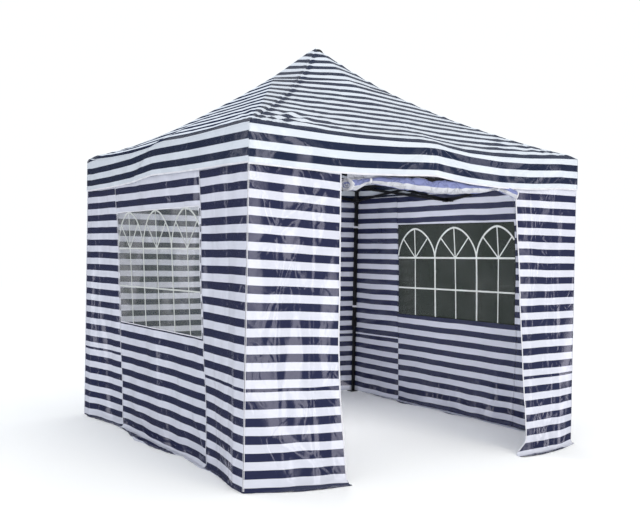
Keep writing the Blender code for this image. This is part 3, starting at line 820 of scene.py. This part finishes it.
# A hip's height is a straight share and a curved one of the rise; each corner's hip is also raised
HIP_STRAIGHT, HIP_CURVED = 0.604, 0.396
HIP_RAISE = (0.038, 0.014, 0.010, 0.0)
RIDGE_SAG = (0.056, 0.030, 0.030, 0.034)
PEAK_LEAN = (-0.035, 0.023)
PEAK_ROUND, PEAK_ROUND_RADIUS = 0.013, 0.055
# The left side is flat up to a fold from this reach on, less so in its back half
LEFT_FOLD_START = 0.27
LEFT_FLAT = 0.97
LEFT_BACK_FLAT = 0.30
LEFT_BANDS_UP = 0.013
# Cloth from the peak down to the eave, and down to the seam between the roof's two cuts
SLOPE_LENGTH = 1.787
ROOF_SEAM = 0.575
ROOF_COLUMNS, ROOF_ROWS, VALANCE_ROWS = 112, 84, 16
# Lengths down the slope where the bands of the roof's two cuts start, and the lower cut's pitch
UPPER_BANDS, LOWER_BANDS, LOWER_PITCH = 0.0163, 0.6253, 0.1107
# The roof's packing folds, as on the walls
ROOF_FOLD_COLUMNS = (-0.75, 0.0, 0.75)
ROOF_FOLD_ROWS = (0.95, 1.40)
ROOF_FOLDS = (0.0025, 0.014)
# The beads along the hips: their height, their distance from the hip and their half width
BEAD_HEIGHT, BEAD_PLACE, BEAD_WIDTH = 0.0070, 0.028, 0.026
# The folds that fan out from a roof corner: their number in a full turn, and their height, which
# is larger at the near corner
FAN_FOLDS, FAN_HEIGHT, NEAR_FAN_HEIGHT = 34.0, 0.0055, 0.0100
# Height of the lip above the eaves
BROW = 0.010
# The valance: its length, the height of its bands, and its foot below its first white band
VALANCE_DROP = 0.25
VALANCE_BANDS = 0.0515
VALANCE_HEM = 0.200
# Heights along an eave, as (along, top of the valance, foot of its first white band)
FRONT_EAVE = (
    (-1.50, 2.277, 2.224), (-1.20, 2.266, 2.217), (-0.90, 2.257, 2.211), (-0.66, 2.254, 2.212),
    (-0.32, 2.262, 2.225), (-0.08, 2.273, 2.240), (0.02, 2.272, 2.241), (0.14, 2.252, 2.228),
    (0.33, 2.233, 2.208), (0.64, 2.231, 2.195), (0.96, 2.243, 2.202), (1.29, 2.267, 2.225),
    (1.50, 2.277, 2.228))
LEFT_EAVE = (
    (-1.50, 2.277, 2.208), (-1.36, 2.256, 2.201), (-0.90, 2.247, 2.204), (-0.44, 2.251, 2.213),
    (-0.08, 2.263, 2.240), (0.02, 2.280, 2.245), (0.16, 2.287, 2.244), (0.51, 2.274, 2.237),
    (0.83, 2.274, 2.234), (1.13, 2.276, 2.233), (1.40, 2.280, 2.231), (1.50, 2.278, 2.231))
RIGHT_EAVE = tuple((-along, top, band) for along, top, band in reversed(FRONT_EAVE))
EAVE_LINES = (FRONT_EAVE, RIGHT_EAVE, FRONT_EAVE, LEFT_EAVE)
ROOF_CREASES = [scattered(20 + side, 60, (-1.3, 0.15), (1.3, 1.75), (15, 75), (0.10, 0.50),
                          (0.0006, 0.0024), (0.006, 0.018)) for side in range(4)]
# Slanting folds of a valance, as creases of (along, drop)
FRONT_SLANTS = (
    (-1.24, 0.04, -0.86, 0.15, 0.017, 0.026), (-0.02, 0.02, -0.40, 0.21, 0.018, 0.026),
    (-0.02, 0.04, -0.15, 0.20, -0.013, 0.022), (0.00, 0.02, 0.01, 0.20, 0.012, 0.022),
    (0.04, 0.02, 0.42, 0.21, 0.017, 0.022), (1.08, 0.02, 0.74, 0.15, 0.016, 0.026),
    (1.12, 0.11, 0.84, 0.23, 0.016, 0.022), (1.36, 0.10, 1.14, 0.23, 0.016, 0.022),
    (-0.08, 0.02, -0.24, 0.12, 0.010, 0.022), (-1.40, 0.24, -1.22, 0.08, 0.008, 0.022))
SIDE_SLANTS = (
    (-0.02, 0.02, -0.42, 0.25, 0.012, 0.022), (-0.12, 0.02, -0.50, 0.20, -0.008, 0.020),
    (0.30, 0.03, 0.72, 0.22, 0.004, 0.020), (-0.60, 0.20, -0.95, 0.05, 0.004, 0.020))


def hip_height(reach, corner):
    rise = 1.0 - reach
    curve = HIP_STRAIGHT * rise + HIP_CURVED * rise**3
    return EAVE_CORNER + (PEAK - EAVE_CORNER) * curve + HIP_RAISE[corner] * np.sin(np.pi * reach) ** 0.8


def hip_share(reach, corner):
    """How far along the hip a reach lies, as a share of the hip's length."""
    steps = np.linspace(0.0, 1.0, 201)
    run = math.sqrt(2) * EAVE / 200
    length = np.concatenate([[0.0], np.cumsum(np.hypot(run, np.diff(hip_height(steps, corner))))])
    return np.interp(reach, steps, length / length[-1])


def by_corner(function, side, reach, across):
    """A hip function taken at the nearer of a side's two hips."""
    return np.where(across < 0, function(reach, side), function(reach, (side + 1) % 4))


def eave_line(side, along):
    """Heights of the valance's top and of the foot of its first white band."""
    places, tops, bands = np.array(EAVE_LINES[side]).T
    fine = np.linspace(-EAVE, EAVE, 601)
    lines = averaged(np.array([np.interp(fine, places, heights) for heights in (tops, bands)]), 17)
    return [np.interp(along, fine, line) for line in lines]


def roof_height(side, reach, across):
    """Roof height; the left side is flat out to a fold that runs up from the front corner."""
    if side == 3:
        flat_end = LEFT_FLAT
        sagging = np.clip(reach / 0.85, 0.0, 1.0)
        fold = (reach - LEFT_FOLD_START) / ((1 - LEFT_FOLD_START) * np.maximum(reach, 0.01))
        flat = np.clip(fold, 0.0, LEFT_FLAT) * np.where(across < 0, LEFT_BACK_FLAT, 1.0)
    else:
        flat_end, sagging, flat = 0.0, reach, 0.0
    middle = PEAK + (EAVE_MIDDLE - PEAK) * reach - RIDGE_SAG[side] * np.sin(np.pi * sagging)
    blend = np.clip((np.abs(across) - flat) / (1 - flat), 0.0, 1.0)
    height = middle * (1 - blend) + by_corner(hip_height, side, reach, across) * blend
    edge = np.clip((np.abs(across) - flat_end) / (1 - flat_end), 0, 1)
    at_eave = EAVE_MIDDLE * (1 - edge) + EAVE_CORNER * edge
    height = height + (eave_line(side, across * EAVE)[0] - at_eave) * reach**5
    return height - PEAK_ROUND * np.exp(-((EAVE * reach / PEAK_ROUND_RADIUS) ** 2))


def cloth_down(side, reach, across):
    """Length of cloth from the peak down to a place on a side."""
    middle = reach * (1 - np.abs(across))
    down = SLOPE_LENGTH * (middle + by_corner(hip_share, side, reach, across) * np.abs(across))
    return down + (LEFT_BANDS_UP if side == 3 else 0.0)


def upper_bands(down):
    return UPPER_BANDS - down


def lower_bands(down):
    return (LOWER_BANDS - down) * (STRIPE / LOWER_PITCH)


def roof_relief(side, reach, across):
    """Creases, the puckered hips and the folds that fan out from the corners."""
    out = EAVE * reach
    along, down = across * out, SLOPE_LENGTH * reach
    seed = 200 + 10 * side
    relief = 0.0045 * noise(along, down, 0.30, seed) + 0.0018 * noise(along, down, 0.09, seed + 1)
    relief += crease_relief(along, down, ROOF_CREASES[side])
    relief += packing_folds(along, down, ROOF_FOLD_COLUMNS, ROOF_FOLD_ROWS, *ROOF_FOLDS)
    # The hip seams pull the cloth into beads, one for each navy band
    from_hip = (1 - np.abs(across)) * out
    cloth = cloth_down(side, reach, across)
    level = np.where(down < ROOF_SEAM, upper_bands(cloth), lower_bands(cloth)) / STRIPE
    bead = np.cos(2 * np.pi * (level - 0.06)) * (0.75 + 0.5 * noise(down, along, 0.12, seed + 2))
    ridge = np.exp(-((from_hip - BEAD_PLACE) / BEAD_WIDTH) ** 2)
    relief += (BEAD_HEIGHT + 0.002 * (1 - reach)) * bead * ridge
    for corner in (-1, 1):
        beside, above = np.abs(along - corner * EAVE), SLOPE_LENGTH - down
        gone = np.hypot(beside, above)
        bearing = np.arctan2(above + 1e-6, beside + 1e-6)
        wander = 1.6 * noise(along, down, 0.30, seed + 3) + 1.2 * noise(along, down, 0.12, seed + 5)
        fan = np.sin(FAN_FOLDS * bearing + wander)
        fan *= NEAR_FAN_HEIGHT if (side, corner) == (0, -1) else FAN_HEIGHT
        fan *= smooth(gone, 0.06, 0.22) * (1 - smooth(gone, 0.55, 1.25))
        fan *= 0.55 + 0.45 * noise(along, down, 0.16, seed + 4)
        relief += fan * smooth(bearing, 0.04, 0.12) * (1 - smooth(bearing, 0.62, 0.80))
    relief *= 0.5 if side == 3 else 1.0
    at_edge = np.minimum(smooth(reach, 0.0, 0.08), 1 - smooth(reach, 0.975, 1.0))
    brow = smooth(1 - reach, 0.0, 0.032) * (1 - smooth(1 - reach, 0.032, 0.14))
    return relief * at_edge * (1 - 0.85 * smooth(np.abs(across), 0.985, 1.0)) + BROW * brow


def valance_out(side, along, drop):
    """How far the valance stands out from the eave line, at a drop below it."""
    share = drop / VALANCE_DROP
    seed = 300 + 10 * side
    billow = 0.008 + 0.006 * noise(along, drop * 0.5, 0.32, seed)
    billow += 0.0030 * noise(along, drop, 0.10, seed + 1)
    billow = share * (billow + 0.8 * pleats(along, drop, PLEATS[side], seed + 30))
    billow += crease_relief(along, drop, FRONT_SLANTS if side == 0 else SIDE_SLANTS)
    billow += crease_relief(along, drop, scattered(seed + 2, 44, (-1.45, 0.0), (1.45, 0.25), (15, 70),
                                                   (0.06, 0.28), (0.0006, 0.0024), (0.004, 0.010)))
    billow *= 1 - smooth(np.abs(along), EAVE - 0.05, EAVE)
    return np.maximum(billow, 0.0004 * share)


def canopy_side(side):
    """Points and cloth places of one side of the canopy, from the peak down to the hem."""
    seam = ROOF_SEAM / SLOPE_LENGTH
    upper = round(ROOF_ROWS * seam)
    reach = np.concatenate([np.linspace(0.0, seam, upper + 1),
                            np.linspace(seam, 1.0, ROOF_ROWS - upper + 1)[1:]])
    across = np.linspace(-1.0, 1.0, ROOF_COLUMNS + 1)
    across = np.sign(across) * (1 - (1 - np.abs(across)) ** 1.15)
    grid_across, grid_reach = np.meshgrid(across, reach)
    out = EAVE * grid_reach
    height = roof_height(side, grid_reach, grid_across) + roof_relief(side, grid_reach, grid_across)
    roof = turned(side, grid_across * out, out, height)
    roof[..., :2] += np.array(PEAK_LEAN) * (1 - grid_reach[..., None])
    share = np.linspace(0.0, 1.0, VALANCE_ROWS + 1)[1:]
    valance_across, grid_share = np.meshgrid(across, share)
    along = valance_across * EAVE
    top, band = eave_line(side, along)
    level = top - grid_share * (top - band + VALANCE_HEM)
    hem = turned(side, along, EAVE + valance_out(side, along, top - level), level)
    down = cloth_down(side, grid_reach, grid_across)
    # Each row of faces takes its bands from one of the three cuts of cloth
    rows = len(reach) - 1 + VALANCE_ROWS
    kinds = np.repeat((0, 1, 2), (upper, len(reach) - 1 - upper, VALANCE_ROWS))
    bands = np.zeros((3, rows + 1, len(across)))
    bands[0, : len(reach)] = upper_bands(down)
    bands[1, : len(reach)] = lower_bands(down)
    bands[2, len(reach) - 1:] = (np.concatenate([top[:1], level]) - band[0]) * (STRIPE / 2 / VALANCE_BANDS)
    return np.concatenate([roof, hem]), np.concatenate([grid_across * out, along]), bands, kinds


def make_canopy():
    points, faces, places, first = [], [], [], 0
    for side in range(4):
        spots, across, bands, kinds = canopy_side(side)
        rows, columns = spots.shape[:2]
        own = grid_faces(rows, columns)
        kind = np.repeat(kinds, columns - 1)
        levels = np.stack([band.ravel()[own] for band in bands])
        level = np.take_along_axis(levels, kind[None, :, None], 0)[0]
        places.append(np.stack([across.ravel()[own], level], -1))
        points.append(spots.reshape(-1, 3))
        faces.append(own + first)
        first += rows * columns
    points, faces, places = np.concatenate(points), np.concatenate(faces), np.concatenate(places)
    # The sides share their hips, and faces at the peak are triangles
    _, index, inverse = np.unique(np.round(points, 5), axis=0, return_index=True, return_inverse=True)
    faces = inverse.reshape(-1)[faces]
    rows, uvs = [], []
    for face, place in zip(faces, places):
        kept = [corner for corner in range(4) if face[corner] != face[corner - 1]]
        if len(kept) >= 3:
            rows.append([int(face[corner]) for corner in kept])
            uvs.append(place[kept])
    mesh = bpy.data.meshes.new("canopy_cloth")
    mesh.from_pydata(points[index].tolist(), [], rows)
    layer = mesh.uv_layers.new(name="cloth")
    layer.data.foreach_set("uv", np.concatenate(uvs).astype(np.float32).ravel())
    mesh.update(calc_edges=True)
    canopy = new_piece("canopy_cloth", mesh, ROOF_CLOTH)
    thicken(canopy, CLOTH, -1.0)
    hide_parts("canopy")
    hem = joined("canopy_hem", [eave_trim(side) for side in range(4)])


def eave_trim(side):
    """The folded hem tape along a valance."""
    along = np.linspace(-EAVE, EAVE, 161)
    top, band = eave_line(side, along)
    foot = band - VALANCE_HEM
    levels = np.stack([foot + 0.012, foot + 0.006, foot - 0.0004])
    along = np.broadcast_to(along, levels.shape)
    bulge = np.array([0.0009, 0.0018, 0.0009])[:, None]
    out = EAVE + valance_out(side, along, top - levels) + bulge
    return new_sheet(f"hem_{side}", turned(side, along, out, levels), WHITE_TAPE, 0.0014)


# The cap on the pole: its outer and inner radius, the height of its dome, how far the dome's foot
# lies below the rounded peak, and its share of the peak's lean
CAP_RADIUS, CAP_INSIDE = 0.046, 0.041
CAP_DOME, CAP_DOWN = 0.045, 0.052
CAP_LEAN = 0.55


def make_pole_cap():
    """A rounded cap under the peak, which keeps the cloth off the pole's end."""
    low = PEAK - PEAK_ROUND - CAP_DOWN
    profile = [(CAP_RADIUS * math.sin(a), low + CAP_DOME * math.cos(a))
               for a in np.linspace(0.0, 0.5 * math.pi, 9)]
    profile += [(CAP_RADIUS, low - 0.008), (CAP_INSIDE, low - 0.010), (CAP_INSIDE, low),
                (0.0, low + 0.004)]
    lean_x, lean_y = (CAP_LEAN * lean for lean in PEAK_LEAN)
    turn = np.linspace(0.0, 2 * math.pi, 41)
    points = np.array([
        [(radius * math.cos(a) + lean_x, radius * math.sin(a) + lean_y, height) for a in turn[:-1]]
        for radius, height in profile])
    rows, sides = points.shape[:2]
    # The grid's last column of points is its first again
    faces = grid_faces(rows, sides + 1)
    faces = faces // (sides + 1) * sides + faces % (sides + 1) % sides
    piece = new_piece("rounded_pole_cap", mesh_of("rounded_pole_cap", points.reshape(-1, 3), faces), PLASTIC)
    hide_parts("pole_cap")


# Rolled door

TURN = 2 * np.pi
ROLL_TURNS = 11.5
ROLL_CORE, ROLL_RADIUS = 0.006, 0.050
ROLL_AT = -1.452
ROLL_ENDS = (-0.738, 0.797)
ROLL_TIES = (-0.540, 0.655)
# The outermost turn starts at the top
ROLL_START = math.radians(90) - ROLL_TURNS * TURN
# The roll as (along, height of its middle, radius)
ROLL_LINE = (
    (-0.738, 1.944, 0.047), (-0.66, 1.950, 0.045), (-0.60, 1.970, 0.035), (-0.54, 1.985, 0.020),
    (-0.48, 1.988, 0.031), (-0.35, 1.989, 0.041), (-0.20, 1.985, 0.052), (-0.10, 1.983, 0.057),
    (0.08, 1.982, 0.058), (0.24, 1.983, 0.053), (0.42, 1.990, 0.045), (0.54, 1.998, 0.037),
    (0.61, 2.004, 0.026), (0.655, 2.003, 0.018), (0.70, 1.990, 0.028), (0.80, 1.957, 0.038))
# Past its right tie the roll leans out of the doorway; its left end faces partly forward
ROLL_LEAN, ROLL_LEAN_FROM = 0.055, 0.62
ROLL_SKEW, ROLL_SKEW_WIDTH = 0.8, 0.07
# ROLL_SPLIT sets the pale lavender band, which is painted shade and sky reflection, on the roll's upper
# side.
# Where a band starts on the outermost turn, and the angle where the cloth starts at the core
ROLL_SPLIT = math.radians(262)
ROLL_HEART = 0.6
# The flat strip above the roll: its foot, and how far it hangs outside the roll's middle
STRIP_FOOT, STRIP_OUT = 2.045, 0.02
DOOR_THICKNESS = 0.0018
# The cloth ends inside its binding by this much
DOOR_INSET = 0.008
# Width of the binding, thickness of bindings, ties and straps, half the width of a tie, and the
# top of the ties
BINDING = 0.012
RIBBON = 0.0012
TIE_HALF = 0.009
TIE_TOP = 2.05


def roll_points(along, angle, grow=0.0):
    """Places on the wound cloth; the angle runs up from 0 at the core."""
    facing = np.mod(angle, TURN)
    lumps = 0.06 * noise(along, np.cos(facing) * 0.045, 0.060, 401)
    lumps += 0.06 * noise(along, np.sin(facing) * 0.045, 0.085, 402)
    lumps += 0.05 * noise(along, np.cos(facing + 0.7) * 0.05, 0.028, 404)
    slant = along * 0.55 + 0.05 * np.cos(facing)
    lumps += 0.15 * ridged(slant, np.sin(facing) * 0.05, 0.060, 405) ** 4 - 0.06
    places, heights, sizes = np.array(ROLL_LINE).T
    outer = np.interp(along, places, sizes)
    core = ROLL_CORE / ROLL_RADIUS
    radius = outer * (core + (1 - core) * angle / (ROLL_TURNS * TURN)) * (0.94 + lumps) + grow
    away = radius * np.cos(angle + ROLL_START)
    y = ROLL_AT - ROLL_LEAN * smooth(along, ROLL_LEAN_FROM, ROLL_ENDS[1]) + away
    z = np.interp(along, places, heights) + radius * np.sin(angle + ROLL_START)
    skew = ROLL_SKEW * np.exp(-((along - ROLL_ENDS[0]) / ROLL_SKEW_WIDTH) ** 2)
    return np.stack([along - skew * away, y, z], -1)


def make_rolled_door():
    """The door cloth: a strip from the wall's top, then the rest wound up from the foot."""
    left, right = ROLL_ENDS
    across = np.linspace(left + DOOR_INSET, right - DOOR_INSET, 130)
    angle = np.linspace(ROLL_TURNS * TURN, ROLL_HEART, 330)
    roll = roll_points(*np.meshgrid(across, angle))
    strip_x, strip_z = np.meshgrid(across, np.linspace(ROLL_TOP, STRIP_FOOT, 5))
    hang = np.stack([strip_x, np.full_like(strip_x, ROLL_AT - STRIP_OUT), strip_z], -1)
    blend = np.linspace(0, 1, 6)[1:-1, None, None]
    link = hang[-1] * (1 - blend) + roll[0] * blend
    points = np.concatenate([hang, link, roll])
    lengths = np.linalg.norm(np.diff(points[:, np.abs(across) < 0.4], axis=0), axis=2).mean(1)
    down = np.concatenate([[0.0], np.cumsum(lengths)])
    shown = np.interp(ROLL_SPLIT, angle[0] - angle, down[len(hang) + len(link):])
    level = np.repeat((shown - down)[:, None], len(across), 1)
    level += 0.006 * noise(points[..., 0], level * 0.5, 0.045, 411)
    level += 0.007 * noise(points[..., 0], level * 0.5, 0.140, 412)
    cloth = np.stack([points[..., 0], level], -1).reshape(-1, 2)[grid_faces(*level.shape)]
    door = new_sheet("rolled_door_cloth", points, DOOR_STRIPES_AND_PAINTED_SHADE, DOOR_THICKNESS, 0.0, cloth=cloth)
    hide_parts("rolled_door")
    trims = joined("rolled_door_bindings", door_bindings(angle) + door_ties())


def door_bindings(angle):
    """White binding along both ends of the roll, on its outer turns."""
    left, right = ROLL_ENDS
    bulge = np.array([-0.0006, 0.0010, 0.0010, -0.0006])[None, :]
    outer = angle[angle > (ROLL_TURNS - 5.5) * TURN]
    made = []
    for name, start, end in (("left", left, left + BINDING), ("right", right - BINDING, right)):
        points = roll_points(*np.meshgrid(np.linspace(start, end, 4), outer), bulge)
        made.append(new_sheet(f"binding_{name}", points, WHITE_TAPE, RIBBON, 0.0))
    return made


def door_ties():
    """The two ties, once round the roll and up to the wall's top."""
    turn = np.linspace(0, TURN, 41) + (ROLL_TURNS - 1) * TURN
    made = []
    for number, place in enumerate(ROLL_TIES):
        band = np.linspace(place - TIE_HALF, place + TIE_HALF, 4)
        points = roll_points(*np.meshgrid(band, turn), 0.0025)
        climb = (TIE_TOP - points[-1]) * np.array([0.0, 0.0, 1.0])
        up = points[-1] + np.linspace(0, 1, 6)[1:, None, None] * climb
        made.append(new_sheet(f"tie_{number}", np.concatenate([points, up]), WHITE_TAPE, RIBBON, 0.0))
    return made


# The leg straps and the frame

# A strap's half side, and where the legs stand on both axes
STRAP_HALF, STRAP_AT = 0.0165, 1.474
STRAP_HEIGHTS = (1.78, 0.92)
STRAP_WIDTH = 0.020


def make_leg_straps():
    """White straps that tie the corner cloth to the legs."""
    half = STRAP_HALF
    ring = fine_path([(-half, -half), (half, -half), (half, half), (-half, half), (-half, -half)], 0.006)
    edges = np.array([STRAP_WIDTH / 2, -STRAP_WIDTH / 2])
    loops = []
    for x in (-STRAP_AT, STRAP_AT):
        for y in (-STRAP_AT, STRAP_AT):
            for height in STRAP_HEIGHTS:
                points = np.empty((len(ring), 2, 3))
                points[..., :2] = ring[:, None, :] + np.array([x, y])
                points[..., 2] = height + edges
                loops.append(new_sheet(f"strap_{len(loops)}", points, WHITE_TAPE, RIBBON, 0.0))
    joined("leg_straps", loops)


def finish_frame():
    plastic_names = ("corner_bracket", "slider", "hub", "pole_cap")
    for name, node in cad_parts.items():
        if name.startswith("inner_leg"):
            finish = INNER_STEEL
        elif any(word in name for word in plastic_names):
            finish = PLASTIC
        else:
            finish = STEEL
        if not node.material_slots:
            node.data.materials.append(finish)
        for slot in node.material_slots:
            slot.material = finish


# The stage, the light and the camera

STAGE_SIZE = 60.0
# Cards round the gazebo: where the ring and the dome start and end, and their radii
CARD_FOOT, DOME_FOOT, DOME_TOP = -14.0, 9.0, 22.0
DARK_RADIUS, DOME_RADIUS, LIGHT_RADIUS = 16.0, 17.0, 15.0
# The light cards: foot and top, and each as (start, end, glow), with bearings in degrees from +X
LIGHT_FOOT, LIGHT_TOP = -6.0, 7.0
LIGHT_CARDS = (
    (-79.0, -68.5, 1.8), (-49.5, -46.3, 1.9), (-28.0, -22.0, 1.8), (94.0, 96.5, 0.7),
    (128.0, 131.0, 0.7), (20.0, 27.0, 1.5), (160.0, 167.0, 1.5), (215.0, 222.0, 1.5))
# The camera, fitted to the corners of the eaves and the feet
CAMERA_AT = (-4.0441, -6.1453, 1.4798)
CAMERA_YAW = 0.5859
CAMERA_PITCH = -0.0131
CAMERA_ROLL = 0.0183
FOCAL_PIXELS = 863.025
PICTURE_WIDTH = 640
SENSOR = 36.0


def make_stage():
    bpy.ops.mesh.primitive_plane_add(size=STAGE_SIZE, location=(0.0, 0.0, -0.0005))
    floor = bpy.context.object
    floor.name = "floor"
    floor.data.materials.append(matt("floor_white", 1.0))
    floor.visible_glossy = False
    bpy.ops.mesh.primitive_plane_add(size=STAGE_SIZE, location=(0.0, 0.0, CARD_FOOT))
    only_in_gloss(bpy.context.object, "dark_ground", 0.10)


def only_in_gloss(card, name, shade, glow=0.0):
    """A card that only reflections see, so that the gloss on the cloth has some shape."""
    card.name = name
    card.data.materials.append(matt(name, shade, glow))
    card.visible_camera = False
    card.visible_diffuse = False
    card.visible_transmission = False
    card.visible_shadow = False


def gloss_card(name, start, end, low, high, radius, shade, glow=0.0, top_radius=None):
    """A curved screen between two bearings from +X, which only reflections see."""
    bearings = np.radians(np.linspace(start, end, 25))
    points = [(wide * math.cos(a), wide * math.sin(a), height)
              for wide, height in ((radius, low), (top_radius or radius, high)) for a in bearings]
    mesh = mesh_of(name, np.array(points), grid_faces(2, len(bearings)))
    only_in_gloss(in_scene(name, mesh), name, shade, glow)


def make_lamp(name, kind, place, power):
    data = bpy.data.lights.new(name, kind)
    data.energy = power
    lamp = in_scene(name, data)
    lamp.location = place
    lamp.visible_glossy = False
    return lamp


def area_light(name, place, target, size, power, colour=(1.0, 1.0, 1.0)):
    lamp = make_lamp(name, "AREA", place, power)
    lamp.data.size = size
    lamp.data.color = colour
    lamp.rotation_euler = (Vector(target) - Vector(place)).to_track_quat("-Z", "Y").to_euler()


def make_lights():
    world = bpy.data.worlds.new("studio")
    bpy.context.scene.world = world
    world.use_nodes = True
    back = world.node_tree.nodes["Background"]
    back.inputs[0].default_value = (1.0, 1.03, 1.06, 1.0)
    back.inputs[1].default_value = 1.0
    gloss_card("dark_card", 0.0, 360.0, CARD_FOOT, DOME_FOOT, DARK_RADIUS, 0.06)
    gloss_card("dome_card", 0.0, 360.0, DOME_FOOT, DOME_TOP, DOME_RADIUS, 0.35, top_radius=1.0)
    for number, (start, end, glow) in enumerate(LIGHT_CARDS):
        gloss_card(f"light_card_{number}", start, end, LIGHT_FOOT, LIGHT_TOP, LIGHT_RADIUS, 0.5, glow)
    area_light("key", (1.5, -11.5, 5.6), (0.0, 0.0, 1.2), 5.0, 312.0, (1.0, 0.93, 0.77))
    area_light("top", (0.0, 0.0, 11.0), (0.0, 0.0, 2.0), 8.0, 130.0)
    # Light that comes through the cloth
    inside = make_lamp("inside_glow", "POINT", (0.0, 0.0, 1.65), 50.0)
    inside.data.shadow_soft_size = 0.4
    inside.visible_camera = False


def make_camera():
    yaw, pitch, roll = CAMERA_YAW, CAMERA_PITCH, CAMERA_ROLL
    ahead = Vector((math.sin(yaw) * math.cos(pitch), math.cos(yaw) * math.cos(pitch), math.sin(pitch)))
    level = Vector((math.cos(yaw), -math.sin(yaw), 0.0))
    upright_way = level.cross(ahead)
    right = level * math.cos(roll) + upright_way * math.sin(roll)
    up = upright_way * math.cos(roll) - level * math.sin(roll)
    data = bpy.data.cameras.new("camera")
    data.sensor_width = SENSOR
    data.lens = FOCAL_PIXELS * SENSOR / PICTURE_WIDTH
    data.clip_end = 200.0
    camera = in_scene("camera", data)
    camera.matrix_world = Matrix.Translation(CAMERA_AT) @ Matrix((right, up, -ahead)).transposed().to_4x4()
    bpy.context.scene.camera = camera


def main():
    bpy.context.scene.view_settings.view_transform = "Standard"
    make_camera()
    make_lights()
    make_stage()
    finish_frame()
    make_canopy()
    make_pole_cap()
    make_walls()
    make_tapes()
    make_windows()
    make_rolled_door()
    make_leg_straps()


main()
